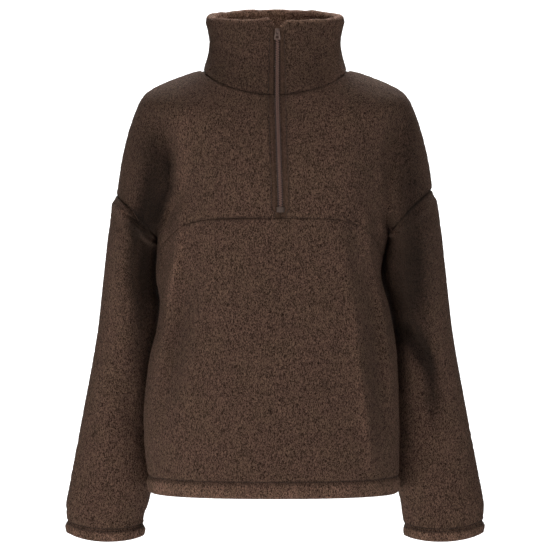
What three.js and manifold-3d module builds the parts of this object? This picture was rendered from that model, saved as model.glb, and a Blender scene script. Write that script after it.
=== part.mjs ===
// A half-zip pile fleece pullover with a tall collar, drop shoulders and wide sleeves, filled out as if worn.
//
// Millimetres, +Z up, the front of the garment faces -Y and the wearer's left arm is on +X.
// The origin is midway between the two high shoulder points, where the garment hangs on the wearer.
//
// The cloth is a wall around a hollow. The torso and the arms are lobes: each has a half width and a depth
// at every height, and above the underarm the lobes run into each other. A panel is a grid of points on that
// form, and its wall is the grid and a copy of it moved inwards.
import * as THREE from "three";
import { mergeVertices } from "three/addons/utils/BufferGeometryUtils.js";
import Module from "manifold-3d";

const wasm = await Module();
wasm.setup();

// Cloth and seams
const CLOTH = 4; // pile fleece, one layer
const HEM_WALL = 8; // two layers, where the cloth is turned up
const COLLAR_WALL = 7; // two layers, folded at the rim
const SEAM_GAP = 0.3;
const SLEEVE_CLEARANCE = 2.4;
const ARMHOLE_BOW = 5; // the armhole seam bows upwards between its ends
const TUCK = 10; // below the armpit the sleeve fills the space behind the torso's side
const CUFF_TILT = 2.5; // the cuff hangs lower towards the body and in front
const CUFF_DROOP = 3.5;

// Heights
const HEM_BOTTOM = -630;
const HEM_STITCH = -605;
const CUFF_BOTTOM = -704;
const CUFF_STITCH = -685;
const YOKE_CENTRE = -226;
const YOKE_SIDE = -279;
const NECK_FRONT = -44;
const NECK_BACK = 15;
const RIM_FRONT = 66;
const RIM_BACK = 101;

// Neck and zip
const NECK_HALF_WIDTH = 108;
const ZIP_EDGE = 4; // from the zip's centre line to the edge of the fleece
const ZIP_BOTTOM = -211;
const ZIP_TOP = 44;
const CHAIN_HALF_WIDTH = 2.8;
const TAPE_HALF_WIDTH = 13;
const TAPE_THICKNESS = 0.8;
const NOTCH_DEPTH = 11; // the collar's front corners fall away at the zip
const NOTCH_HALF_WIDTH = 12;

// Slider and its pull tab
const SLIDER = { width: 7, length: 10, plate: 1.3, chainSpace: 4.4, post: 3 };
const BRIDGE = { width: 2.2, length: 4.8, height: 4, hole: 2.7 };
const PULL = {
  topWidth: 6.4,
  bottomWidth: 10,
  length: 12.4,
  thickness: 1.3,
  bar: 1.3,
  slot: 3.2,
  slotWidth: 3.4,
};

// Grid densities
const NECK_COLUMNS = 8; // from the zip to the high shoulder point
const SHOULDER_COLUMNS = 10;
const COLUMNS = NECK_COLUMNS + SHOULDER_COLUMNS;
const SIDE_ROWS = 2; // from the yoke seam's end to the underarm
const ARMHOLE_ROWS = 11;
const LOWER_ROWS = 11;
const SLEEVE_ROWS = 16;
const RELAX_TURNS = 60;

// One side of the garment. The armhole seam runs from its high point on the shoulder to the underarm.
const LEFT = { sign: 1, column: "left", highZ: -180, underX: 170, underZ: -243 };
const RIGHT = { sign: -1, column: "right", highZ: -188, underX: 176, underZ: -252 };

// A turned-up edge, from its bottom to just above its stitching: how far the cloth puffs out, and its wall.
const TURNED_EDGE = [
  { up: 0.14, out: 0.2, wall: HEM_WALL },
  { up: 0.45, out: 1.3, wall: HEM_WALL },
  { up: 0.78, out: 0.7, wall: HEM_WALL },
  { up: 1, out: -1.2, wall: HEM_WALL - 1.5 },
  { up: 1.16, out: 0, wall: CLOTH },
];

// The zip's centre line, seen from the front.
const ZIP_LINE = [
  { z: 66, x: 3.5 },
  { z: -44, x: 3 },
  { z: -120, x: 5 },
  { z: -226, x: 8 },
  { z: -300, x: 6 },
  { z: -630, x: 0 },
];

// Outer edge of the garment seen from the front: the shoulder line, then the outside of the sleeve.
const OUTLINE = [
  { z: 1, x: 108 },
  { z: -7, x: 134 },
  { z: -15, x: 154.5 },
  { z: -22, x: 171 },
  { z: -30, x: 186 },
  { z: -37, x: 195 },
  { z: -45, x: 201 },
  { z: -60, x: 208 },
  { z: -78, x: 215 },
  { z: -114, x: 225 },
  { z: -150, x: 232 },
  { z: -176, x: 235.5 },
  { z: -186, x: 238 },
  { z: -194, x: 242 },
  { z: -240, x: 248.5 },
  { z: -312, x: 258 },
  { z: -384, x: 267 },
  { z: -420, x: 273 },
  { z: -492, x: 287 },
  { z: -564, x: 300.5 },
  { z: -636, x: 313.5 },
  { z: -662, x: 317 },
  { z: -674, x: 316 },
  { z: -720, x: 316 },
];

// Half width of the torso on each side. Above the underarm it is where the chest rolls into the armpit.
const TORSO_WIDTH = [
  { z: 20, right: 300, left: 300 },
  { z: -30, right: 270, left: 270 },
  { z: -60, right: 215, left: 220 },
  { z: -90, right: 176, left: 186 },
  { z: -130, right: 157, left: 174 },
  { z: -165, right: 150, left: 171 },
  { z: -190, right: 153, left: 170 },
  { z: -220, right: 166, left: 170 },
  { z: -243, right: 174, left: 170 },
  { z: -252, right: 176, left: 168.5 },
  { z: -284, right: 177, left: 161 },
  { z: -300, right: 178, left: 158.5 },
  { z: -318, right: 177, left: 160 },
  { z: -345, right: 172, left: 168 },
  { z: -390, right: 177, left: 177 },
  { z: -430, right: 187, left: 182 },
  { z: -514, right: 196, left: 185 },
  { z: -562, right: 194.5, left: 185.5 },
  { z: -605, right: 190, left: 185 },
  { z: -640, right: 188, left: 186 },
];

// Depth of the torso in front of and behind its middle plane, and the fullness of its corners.
const TORSO_DEPTH = [
  { z: 20, front: 62, back: 66, corner: 3.0 },
  { z: 0, front: 70, back: 80, corner: 3.0 },
  { z: -18, front: 78, back: 92, corner: 3.0 },
  { z: -44, front: 92, back: 104, corner: 3.0 },
  { z: -80, front: 110, back: 112, corner: 3.0 },
  { z: -130, front: 124, back: 116, corner: 3.0 },
  { z: -180, front: 129, back: 114, corner: 2.9 },
  { z: -243, front: 128, back: 110, corner: 2.7 },
  { z: -300, front: 123, back: 109, corner: 2.5 },
  { z: -400, front: 117, back: 110, corner: 2.4 },
  { z: -500, front: 120, back: 114, corner: 2.4 },
  { z: -590, front: 123, back: 117, corner: 2.4 },
  { z: -640, front: 118, back: 112, corner: 2.4 },
];

// The arm above the underarm: its inner edge on each side and the radius of its outer edge.
const ARM_INNER = [
  { z: 20, right: -60, left: -60, round: 60 },
  { z: -40, right: -60, left: -60, round: 74 },
  { z: -80, right: -60, left: -60, round: 74 },
  { z: -130, right: -30, left: -20, round: 62 },
  { z: -170, right: 50, left: 66, round: 52 },
  { z: -200, right: 100, left: 116, round: 45 },
  { z: -225, right: 138, left: 150, round: 41 },
  { z: -243, right: 165, left: 170, round: 39 },
  { z: -252, right: 176, left: 172, round: 38 },
];

// The forearm's inner edge, where it shows below the hem.
const CUFF_INNER = [
  { z: -636, right: 188, left: 187 },
  { z: -650, right: 191, left: 190 },
  { z: -664, right: 195, left: 192 },
  { z: -675, right: 199, left: 193.5 },
  { z: -690, right: 198, left: 195 },
  { z: -720, right: 199, left: 196 },
];

// The arm's half depth and its middle plane, which falls back behind the torso's side below the underarm.
const ARM_DEPTH = [
  { z: 20, depth: 74, middle: 0 },
  { z: -40, depth: 80, middle: 0 },
  { z: -80, depth: 84, middle: 0 },
  { z: -130, depth: 87, middle: 0 },
  { z: -200, depth: 88, middle: 0 },
  { z: -243, depth: 87, middle: 0 },
  { z: -252, depth: 87, middle: 1 },
  { z: -270, depth: 85, middle: 5 },
  { z: -300, depth: 81, middle: 12 },
  { z: -342, depth: 77, middle: 20 },
  { z: -400, depth: 70, middle: 29 },
  { z: -440, depth: 66, middle: 35 },
  { z: -515, depth: 58, middle: 42 },
  { z: -600, depth: 49, middle: 40 },
  { z: -660, depth: 42, middle: 34 },
  { z: -689, depth: 38, middle: 31 },
  { z: -720, depth: 37, middle: 31 },
];

// How softly the torso and the arm run into each other, in millimetres of depth.
const BLEND = [
  { z: 20, width: 40 },
  { z: -60, width: 40 },
  { z: -130, width: 30 },
  { z: -190, width: 16 },
  { z: -230, width: 8 },
  { z: -252, width: 2 },
];

// Large soft folds: ridges (height over 0) and troughs, each along a line seen from the front or from behind.
const FOLDS = [
  { face: "front", x1: -136, z1: -200, x2: -150, z2: -312, spread: 9, height: 7 },
  { face: "front", x1: -148, z1: -290, x2: -168, z2: -384, spread: 10, height: 6 },
  { face: "front", x1: -153, z1: -206, x2: -171, z2: -340, spread: 11, height: -14 },
  { face: "front", x1: 130, z1: -214, x2: 150, z2: -320, spread: 9, height: 7 },
  { face: "front", x1: 148, z1: -300, x2: 162, z2: -372, spread: 10, height: 5 },
  { face: "front", x1: 147, z1: -222, x2: 162, z2: -322, spread: 10, height: -12 },
  { face: "front", x1: 104, z1: -300, x2: 108, z2: -570, spread: 20, height: -6 },
  { face: "front", x1: 140, z1: -420, x2: 142, z2: -585, spread: 15, height: 4 },
  { face: "front", x1: -120, z1: -440, x2: -130, z2: -580, spread: 18, height: -5 },
  { face: "front", x1: -60, z1: -330, x2: -66, z2: -540, spread: 30, height: 3 },
  { face: "front", x1: -176, z1: -70, x2: -158, z2: -150, spread: 20, height: -6 },
  { face: "front", x1: 186, z1: -80, x2: 178, z2: -160, spread: 16, height: -6 },
  { face: "back", x1: -140, z1: -150, x2: -150, z2: -330, spread: 16, height: 5 },
  { face: "back", x1: 138, z1: -160, x2: 148, z2: -320, spread: 16, height: 5 },
  { face: "back", x1: -90, z1: -260, x2: -104, z2: -560, spread: 24, height: -6 },
  { face: "back", x1: 86, z1: -300, x2: 96, z2: -575, spread: 24, height: -5 },
  { face: "back", x1: -8, z1: -380, x2: 4, z2: -560, spread: 34, height: 4 },
];

// Soft hollows in a sleeve: the height and the angle of their middle. 0 is outside and 90 is in front.
const SLEEVE_HOLLOWS = [
  { side: "left", z: -395, angle: 118, tall: 30, wide: 34, lean: 0.5, depth: 8 },
  { side: "left", z: -470, angle: 74, tall: 34, wide: 30, lean: 0.5, depth: 6 },
  { side: "left", z: -420, angle: 262, tall: 34, wide: 30, lean: -0.4, depth: 6 },
  { side: "right", z: -380, angle: 70, tall: 50, wide: 26, lean: 0.25, depth: 4 },
  { side: "right", z: -500, angle: 112, tall: 44, wide: 28, lean: -0.3, depth: 5 },
  { side: "right", z: -430, angle: 258, tall: 34, wide: 30, lean: 0.4, depth: 6 },
];

// The collar's half width and half depth from the neck seam (0) to the rim (1).
const COLLAR = [
  { up: 0, halfWidth: 107, front: 88, back: 76 },
  { up: 0.25, halfWidth: 101, front: 84, back: 74 },
  { up: 0.5, halfWidth: 98.5, front: 80, back: 74 },
  { up: 0.75, halfWidth: 100.5, front: 79, back: 76 },
  { up: 0.93, halfWidth: 103.5, front: 79, back: 78 },
  { up: 1, halfWidth: 102, front: 79, back: 78 },
];

const FLEECE = { color: 0x54433a, roughness: 0.95, metalness: 0 };
const WOVEN_TAPE = { color: 0x4a3a34, roughness: 0.85, metalness: 0 };
const COIL = { color: 0x6b5750, roughness: 0.55, metalness: 0 };
const DYED_METAL = { color: 0x75635b, roughness: 0.4, metalness: 0.6 };

// A smooth curve through one column of a table whose rows are in order of another column.
function column(table, key, name, at) {
  const step = Math.sign(table[1][key] - table[0][key]);
  const place = (row) => step * table[row][key];
  const target = step * at;
  const last = table.length - 1;
  if (target <= place(0)) return table[0][name];
  if (target >= place(last)) return table[last][name];
  let i = 0;
  while (place(i + 1) < target) i += 1;
  const slope = (row) => {
    const a = Math.max(row - 1, 0);
    const b = Math.min(row + 1, last);
    return (table[b][name] - table[a][name]) / (place(b) - place(a));
  };
  const span = place(i + 1) - place(i);
  const t = (target - place(i)) / span;
  const rise = table[i + 1][name] - table[i][name];
  const steepest = (3 * Math.abs(rise)) / span;
  const limit = (value) => (rise * value <= 0 ? 0 : Math.sign(rise) * Math.min(Math.abs(value), steepest));
  const m0 = limit(slope(i)) * span;
  const m1 = limit(slope(i + 1)) * span;
  const cubic = rise * (3 - 2 * t) * t * t;
  return table[i][name] + cubic + m0 * t * (1 - t) * (1 - t) - m1 * t * t * (1 - t);
}

const outlineX = (z) => column(OUTLINE, "z", "x", z);
const clamp01 = (v) => Math.min(Math.max(v, 0), 1);
const mix = (a, b, t) => a + (b - a) * t;

const OUTLINE_STEP = 3;
const outlinePoints = [];
for (let z = OUTLINE[0].z; z > OUTLINE.at(-1).z; z -= OUTLINE_STEP) outlinePoints.push([outlineX(z), z]);

// Distance in the front view from a point to a line between two points, and how far along the line it falls.
function toSegment(x, z, x1, z1, x2, z2) {
  const dx = x2 - x1;
  const dz = z2 - z1;
  const along = clamp01(((x - x1) * dx + (z - z1) * dz) / (dx * dx + dz * dz));
  return { away: Math.hypot(x - x1 - along * dx, z - z1 - along * dz), along };
}

function distanceToOutline(x, z) {
  let least = Infinity;
  for (let i = 1; i < outlinePoints.length; i += 1) {
    const [x1, z1] = outlinePoints[i - 1];
    const [x2, z2] = outlinePoints[i];
    least = Math.min(least, toSegment(x, z, x1, z1, x2, z2).away);
  }
  return x > outlineX(z) && z < OUTLINE[0].z ? 0 : least;
}

const torsoWidth = (side, z) => column(TORSO_WIDTH, "z", side.column, z);
const torsoMiddle = (z) => -12 * clamp01((-252 - z) / 148);
const armMiddle = (z) => column(ARM_DEPTH, "z", "middle", z);

// Half width of the torso at a distance y from front to back.
function torsoReach(side, y, z) {
  const face = y < torsoMiddle(z) ? "front" : "back";
  const share = Math.abs(y - torsoMiddle(z)) / column(TORSO_DEPTH, "z", face, z);
  const n = column(TORSO_DEPTH, "z", "corner", z);
  return share < 1 ? torsoWidth(side, z) * (1 - share ** n) ** (1 / n) : 0;
}

// Beside the torso the arm's inner edge lies as far in as the torso's side lets it.
function clearInner(side, z) {
  const depth = column(ARM_DEPTH, "z", "depth", z);
  const clears = (inner) => {
    const half = (outlineX(z) - inner) / 2;
    for (let k = -8; k <= 8; k += 1) {
      const share = k / 9;
      const armX = inner + half - half * Math.sqrt(1 - share * share);
      if (armX < torsoReach(side, armMiddle(z) + depth * share, z) + SLEEVE_CLEARANCE) return false;
    }
    return true;
  };
  let inner = torsoWidth(side, z) - 16;
  while (!clears(inner)) inner += 0.5;
  return inner;
}

function innerTable(side) {
  const place = (row) => ({ z: row.z, x: row[side.column] });
  const above = ARM_INNER.filter(({ z }) => z > side.underZ - 1).map(place);
  const below = CUFF_INNER.map(place);
  const beside = [];
  for (let z = side.underZ - 20; z > -620; z -= 20) beside.push({ z, x: clearInner(side, z) });
  return [...above, { z: side.underZ - 2, x: side.underX + 1.5 }, ...beside, ...below];
}

const innerTables = { left: innerTable(LEFT), right: innerTable(RIGHT) };
const armInner = (side, z) => column(innerTables[side.column], "z", "x", z);
const armOuterRound = (side, z) => {
  const half = (outlineX(z) - armInner(side, z)) / 2;
  const blended = clamp01((z - side.underZ) / 40);
  return blended > 0 ? mix(half, column(ARM_INNER, "z", "round", z), blended) : half;
};

function foldHeight(face, x, z) {
  let sum = 0;
  for (const fold of FOLDS) {
    if (fold.face !== face) continue;
    const { away, along } = toSegment(x, z, fold.x1, fold.z1, fold.x2, fold.z2);
    const ends = Math.sin(Math.PI * mix(0.12, 0.88, along));
    sum += fold.height * ends * Math.exp(-((away / fold.spread) ** 2));
  }
  return sum;
}

// Depth of one lobe: 1 in its middle, 0 at its edge, and falling on outside it so that it never wins there.
const superellipse = (t, n) => (t < 1 ? (1 - t ** n) ** (1 / n) : -6 * (t - 1));

function torsoDepth(side, face, x, z) {
  const share = superellipse(Math.abs(x) / torsoWidth(side, z), column(TORSO_DEPTH, "z", "corner", z));
  return column(TORSO_DEPTH, "z", face, z) * share;
}

function armDepth(side, x, z) {
  const round = armOuterRound(side, z);
  const middle = outlineX(z) - round;
  const inner = armInner(side, z);
  const share = x < middle ? superellipse((middle - x) / (middle - inner), 2) : 1;
  return column(ARM_DEPTH, "z", "depth", z) * share;
}

function roundedEdge(side, x, z) {
  const reach = clamp01(distanceToOutline(x, z) / armOuterRound(side, z));
  return Math.sqrt(Math.max(1 - (1 - reach) ** 2, 0));
}

function softMax(a, b, width) {
  const near = Math.max(width - Math.abs(a - b), 0) / width;
  return Math.max(a, b) + near * near * width * 0.25;
}

// Depth of the garment's upper form at a place in the front view, with x counted outwards from the centre.
function upperDepth(side, face, x, z) {
  const torso = torsoDepth(side, face, x, z);
  const arm = armDepth(side, x, z);
  const joined = softMax(torso, arm, column(BLEND, "z", "width", z));
  const full = Math.max(joined, 0) * roundedEdge(side, x, z);
  return full + foldHeight(face, side.sign * x, z) * clamp01(full / 60);
}

function torsoOnlyDepth(side, face, x, z) {
  const plain = Math.max(torsoDepth(side, face, x, z), 0);
  return plain + foldHeight(face, side.sign * x, z) * clamp01(plain / 60);
}

// A point of the body on one side and one face.
function bodyPoint(side, face, x, z) {
  const above = z > side.underZ;
  const depth = above ? upperDepth(side, face, x, z) : torsoOnlyDepth(side, face, x, z);
  const outwards = face === "front" ? -1 : 1;
  return new THREE.Vector3(side.sign * x, torsoMiddle(z) + outwards * depth, z);
}

// Points evenly spaced along a curve given as a function of 0 to 1.
function evenly(curve, count, samples = 160) {
  const points = Array.from({ length: samples + 1 }, (_, i) => curve(i / samples));
  const lengths = [0];
  for (let i = 1; i <= samples; i += 1) lengths.push(lengths[i - 1] + points[i].distanceTo(points[i - 1]));
  const total = lengths[samples];
  const made = [];
  let i = 1;
  for (let k = 0; k <= count; k += 1) {
    const want = (total * k) / count;
    while (i < samples && lengths[i] < want) i += 1;
    const t = clamp01((want - lengths[i - 1]) / (lengths[i] - lengths[i - 1] || 1));
    made.push(points[i - 1].clone().lerp(points[i], t));
  }
  return made;
}

// The seam round the neck: c is 1 at the centre front, 0 at the high shoulder point, -1 at the centre back.
const neckX = (c) => NECK_HALF_WIDTH * Math.sqrt(Math.max(1 - c * c, 0));
const neckZ = (c) => ((NECK_FRONT - NECK_BACK) / 2) * c + ((NECK_FRONT + NECK_BACK) / 2) * c * c;

// Where a panel begins at the zip or at the centre, counted outwards on its own side.
const zipX = (z) => column(ZIP_LINE, "z", "x", z);
const zipEdge = (z) => ZIP_EDGE * clamp01((z - YOKE_CENTRE) / 14);
const frontStart = (side, z) => side.sign * zipX(z) + (z > YOKE_CENTRE ? zipEdge(z) : 0);
const startX = (side, face, z) => (face === "front" ? frontStart(side, z) : 0);

// The armhole seam of one face: a slanted line seen from the front, from the underarm up to its high point.
function armholePoints(side, face) {
  const highX = outlineX(side.highZ);
  const curve = (t) => {
    const eased = 0.5 - 0.5 * Math.cos(Math.PI * t);
    const z = mix(side.underZ, side.highZ, eased) + ARMHOLE_BOW * Math.sin(Math.PI * eased);
    return bodyPoint(side, face, mix(side.underX, highX, eased), z);
  };
  const points = evenly(curve, ARMHOLE_ROWS);
  points[0] = new THREE.Vector3(side.sign * side.underX, 0, side.underZ);
  points[ARMHOLE_ROWS] = new THREE.Vector3(side.sign * highX, 0, side.highZ);
  return points;
}

// Half of the neck seam on one face, from the centre out to the high shoulder point.
function neckPoints(side, face) {
  const curve = (t) => {
    const c = face === "front" ? Math.cos((Math.PI / 2) * t) : -Math.cos((Math.PI / 2) * t);
    const z = neckZ(c);
    return bodyPoint(side, face, Math.max(neckX(c), startX(side, face, z)), z);
  };
  const points = evenly(curve, NECK_COLUMNS);
  points[NECK_COLUMNS] = new THREE.Vector3(side.sign * NECK_HALF_WIDTH, 0, 0);
  return points;
}

// The shoulder seam, from the high shoulder point down to the armhole.
function shoulderPoints(side) {
  const curve = (t) => {
    const z = side.highZ * t ** 1.6;
    return new THREE.Vector3(side.sign * (t === 0 ? NECK_HALF_WIDTH : outlineX(z)), 0, z);
  };
  return evenly(curve, SHOULDER_COLUMNS, 400);
}

function sidePoint(side, z) {
  return new THREE.Vector3(side.sign * torsoWidth(side, z), torsoMiddle(z), z);
}

// A row from the centre to the side seam. It leaves the level late, to meet the side at its own height.
function levelRow(side, face, centreZ, sideZ) {
  const end = sidePoint(side, sideZ);
  const endX = Math.abs(end.x);
  const start = startX(side, face, centreZ);
  const first = Math.asin(start / endX);
  const row = evenly((t) => {
    const s = Math.sin(mix(first, Math.PI / 2, t));
    return bodyPoint(side, face, endX * s, mix(centreZ, sideZ, Math.max(s, 0) ** 6));
  }, COLUMNS);
  row[COLUMNS] = end;
  return row;
}

// An upper panel of one side: its four edges are placed, and the points between are evened out over the form.
function upperGrid(side, face) {
  const bottom = levelRow(side, face, YOKE_CENTRE, YOKE_SIDE);
  const top = [...neckPoints(side, face), ...shoulderPoints(side).slice(1)];
  const outer = [];
  for (let i = 0; i < SIDE_ROWS; i += 1) {
    outer.push(sidePoint(side, mix(YOKE_SIDE, side.underZ, i / SIDE_ROWS)));
  }
  outer.push(...armholePoints(side, face));
  const last = outer.length - 1;
  const centre = outer.map((_, i) => {
    const z = i === 0 ? YOKE_CENTRE : mix(YOKE_CENTRE + 14, top[0].z, (i - 1) / (last - 1));
    return bodyPoint(side, face, startX(side, face, z), z);
  });
  const grid = outer.map((end, i) => {
    if (i === 0) return bottom;
    if (i === last) return top;
    const v = i / last;
    return bottom.map((low, j) => {
      const u = j / COLUMNS;
      const across = centre[i].clone().lerp(end, u);
      const along = low.clone().lerp(top[j], v);
      const lowChord = bottom[0].clone().lerp(bottom[COLUMNS], u);
      const highChord = top[0].clone().lerp(top[COLUMNS], u);
      return across.add(along).sub(lowChord.lerp(highChord, v));
    });
  });
  for (let turn = 0; turn < RELAX_TURNS; turn += 1) {
    for (let i = 1; i < last; i += 1) {
      for (let j = 1; j < COLUMNS; j += 1) {
        const mean = grid[i - 1][j].clone().add(grid[i + 1][j]).add(grid[i][j - 1]).add(grid[i][j + 1]);
        mean.multiplyScalar(0.25);
        const limit = mean.z > side.underZ ? outlineX(mean.z) : torsoWidth(side, mean.z);
        grid[i][j] = bodyPoint(side, face, Math.min(side.sign * mean.x, limit - 0.2), mean.z);
      }
    }
  }
  for (let i = 1; i < last; i += 1) {
    grid[i][0] = centre[i];
    grid[i][COLUMNS] = outer[i];
  }
  return grid;
}

const joinHalves = (right, left) => right.map((row, i) => [...row.slice(1).reverse(), ...left[i]]);

// A lower panel across both sides, with its hem turned up at the bottom.
const hemLevels = TURNED_EDGE.map(({ up }) => mix(HEM_BOTTOM, HEM_STITCH, up));
function lowerGrid(face) {
  const half = (side) => {
    const rows = hemLevels.map((z) => levelRow(side, face, z, z));
    const from = hemLevels.at(-1);
    for (let i = 1; i <= LOWER_ROWS; i += 1) {
      const v = i / LOWER_ROWS;
      rows.push(levelRow(side, face, mix(from, YOKE_CENTRE, v), mix(from, YOKE_SIDE, v)));
    }
    return rows;
  };
  return joinHalves(half(RIGHT), half(LEFT));
}

// How far a sleeve's surface sinks at one height and angle.
function sleeveHollow(side, z, angle) {
  let sum = 0;
  for (const hollow of SLEEVE_HOLLOWS) {
    if (hollow.side !== side.column) continue;
    const up = z - hollow.z;
    const round = THREE.MathUtils.radToDeg(angle) - hollow.angle - hollow.lean * up;
    sum += hollow.depth * Math.exp(-((up / hollow.tall) ** 2) - (round / hollow.wide) ** 2);
  }
  return sum;
}

// How far the sleeve reaches in behind the torso's side, at a height and an angle.
function sleeveTuck(side, z, angle) {
  const degrees = THREE.MathUtils.radToDeg(angle);
  const behind = clamp01((degrees - 178) / 34) * clamp01((262 - degrees) / 44);
  return TUCK * behind * clamp01((side.underZ - 8 - z) / 26) * clamp01((z + 400) / 50);
}

// A point of a sleeve, at an angle from its outer edge (0) round the front (90 degrees) to the inside (180).
function sleevePoint(side, angle, level, slope) {
  let z = level;
  let x = 0;
  const cos = Math.cos(angle);
  for (let turn = 0; turn < 12; turn += 1) {
    const round = armOuterRound(side, z);
    const middle = outlineX(z) - round;
    x = middle + (cos > 0 ? round : middle - armInner(side, z)) * cos;
    z = level + slope * (x - (outlineX(level) + armInner(side, level)) / 2);
  }
  const hollow = sleeveHollow(side, z, angle);
  const face = angle < Math.PI ? "front" : "back";
  const plain = Math.max(armDepth(side, x, z), 0) * roundedEdge(side, x, z);
  const depth = z > side.underZ ? upperDepth(side, face, x, z) : plain;
  const outwards = face === "front" ? -1 : 1;
  const share = Math.abs(Math.sin(angle));
  const towardsCuff = clamp01((-500 - z) / 180) ** 2;
  const droop = towardsCuff * (CUFF_TILT * cos + CUFF_DROOP * Math.cos(2 * angle));
  const y = armMiddle(z) + outwards * (depth - hollow * share);
  const reach = x - hollow * cos - sleeveTuck(side, z, angle);
  return new THREE.Vector3(side.sign * reach, y, z + droop);
}

function sleeveGrid(side) {
  const front = armholePoints(side, "front").reverse();
  const back = armholePoints(side, "back");
  const rows = [[...front.slice(0, -1), ...back.slice(0, -1)]];
  const ring = (level, slope) => {
    const half = (from) => evenly((t) => sleevePoint(side, Math.PI * (from + t), level, slope), ARMHOLE_ROWS);
    return [...half(0).slice(0, -1), ...half(1).slice(0, -1)];
  };
  const startLevel = (side.underZ + side.highZ) / 2;
  const startSlope = (side.highZ - side.underZ) / (outlineX(side.highZ) - side.underX);
  const edge = TURNED_EDGE.map(({ up }) => mix(CUFF_BOTTOM, CUFF_STITCH, up)).reverse();
  for (let i = 1; i < SLEEVE_ROWS; i += 1) {
    const v = i / SLEEVE_ROWS;
    rows.push(ring(mix(startLevel, edge[0], v ** 1.05), startSlope * Math.max(1 - v * 2.6, 0) ** 1.5));
  }
  for (const level of edge) rows.push(ring(level, 0));
  return rows;
}

// Normals of a grid, pointing out of the garment.
function gridNormals(grid, closed, facing) {
  const rows = grid.length;
  const cols = grid[0].length;
  return grid.map((row, i) =>
    row.map((_, j) => {
      const before = closed ? (j + cols - 1) % cols : Math.max(j - 1, 0);
      const after = closed ? (j + 1) % cols : Math.min(j + 1, cols - 1);
      const across = grid[i][after].clone().sub(grid[i][before]);
      const up = grid[Math.min(i + 1, rows - 1)][j].clone().sub(grid[Math.max(i - 1, 0)][j]);
      return across.cross(up).multiplyScalar(facing).normalize();
    }),
  );
}

const seamKey = (p) => [p.x, p.y, p.z].map((v) => Math.round(v * 2)).join(",");

// At a seam the panels that meet share one direction inwards, so that their walls meet in a mitre.
function shareSeamNormals(panels) {
  const shared = new Map();
  for (const panel of panels) {
    const lastRow = panel.grid.length - 1;
    panel.grid.forEach((row, i) =>
      row.forEach((p, j) => {
        const atSide = !panel.closed && (j === 0 || j === row.length - 1);
        if (!atSide && i !== 0 && i !== lastRow) return;
        const list = shared.get(seamKey(p)) ?? [];
        list.push({ panel, i, j, normal: panel.normals[i][j].clone() });
        shared.set(seamKey(p), list);
      }),
    );
  }
  for (const list of shared.values()) {
    for (const one of list) {
      const sum = new THREE.Vector3();
      for (const other of list) sum.add(other.normal);
      one.panel.normals[one.i][one.j] = sum.normalize();
    }
  }
}

// Draws a panel's edges back from the seam line, each edge point towards its neighbour inside the panel.
function drawBack(grid, closed) {
  const rows = grid.length;
  const cols = grid[0].length;
  const step = (from, to) => to.clone().sub(from).setLength(SEAM_GAP / 2);
  return grid.map((row, i) =>
    row.map((p, j) => {
      const drawn = p.clone();
      if (i === 0) drawn.add(step(p, grid[1][j]));
      if (i === rows - 1) drawn.add(step(p, grid[rows - 2][j]));
      if (!closed && j === 0) drawn.add(step(p, grid[i][1]));
      if (!closed && j === cols - 1) drawn.add(step(p, grid[i][cols - 2]));
      return drawn;
    }),
  );
}

// A closed wall between an outer and an inner grid.
function wallGeometry(outer, inner, closed, facing) {
  const rows = outer.length;
  const cols = outer[0].length;
  const outerAt = (i, j) => i * cols + (j % cols);
  const innerAt = (i, j) => rows * cols + outerAt(i, j);
  const index = [];
  const quad = (a, b, c, d) => (facing > 0 ? index.push(a, b, c, a, c, d) : index.push(a, c, b, a, d, c));
  const points = [...outer, ...inner].flat();
  // Two walls that meet at a seam split their edge faces along the same diagonal, the shorter one.
  const edgeQuad = (a, b, c, d) => {
    const turn = points[a].distanceTo(points[c]) > points[b].distanceTo(points[d]) + 0.02;
    return turn ? quad(b, c, d, a) : quad(a, b, c, d);
  };
  const across = closed ? cols : cols - 1;
  const last = cols - 1;
  for (let i = 0; i < rows - 1; i += 1) {
    for (let j = 0; j < across; j += 1) {
      quad(outerAt(i, j), outerAt(i, j + 1), outerAt(i + 1, j + 1), outerAt(i + 1, j));
      quad(innerAt(i, j), innerAt(i + 1, j), innerAt(i + 1, j + 1), innerAt(i, j + 1));
    }
  }
  for (let j = 0; j < across; j += 1) {
    edgeQuad(outerAt(0, j), innerAt(0, j), innerAt(0, j + 1), outerAt(0, j + 1));
    edgeQuad(outerAt(rows - 1, j), outerAt(rows - 1, j + 1), innerAt(rows - 1, j + 1), innerAt(rows - 1, j));
  }
  if (!closed) {
    for (let i = 0; i < rows - 1; i += 1) {
      edgeQuad(outerAt(i, 0), outerAt(i + 1, 0), innerAt(i + 1, 0), innerAt(i, 0));
      edgeQuad(outerAt(i, last), innerAt(i, last), innerAt(i + 1, last), outerAt(i + 1, last));
    }
  }
  const geometry = new THREE.BufferGeometry();
  const positions = points.flatMap((p) => [p.x, p.y, p.z]);
  geometry.setAttribute("position", new THREE.Float32BufferAttribute(positions, 3));
  geometry.setIndex(index);
  return geometry;
}

const garment = new THREE.Group();
garment.name = "pullover";

function add(name, geometry, finish) {
  const mesh = new THREE.Mesh(geometry, new THREE.MeshStandardMaterial(finish));
  mesh.name = name;
  garment.add(mesh);
  return mesh;
}

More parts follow.
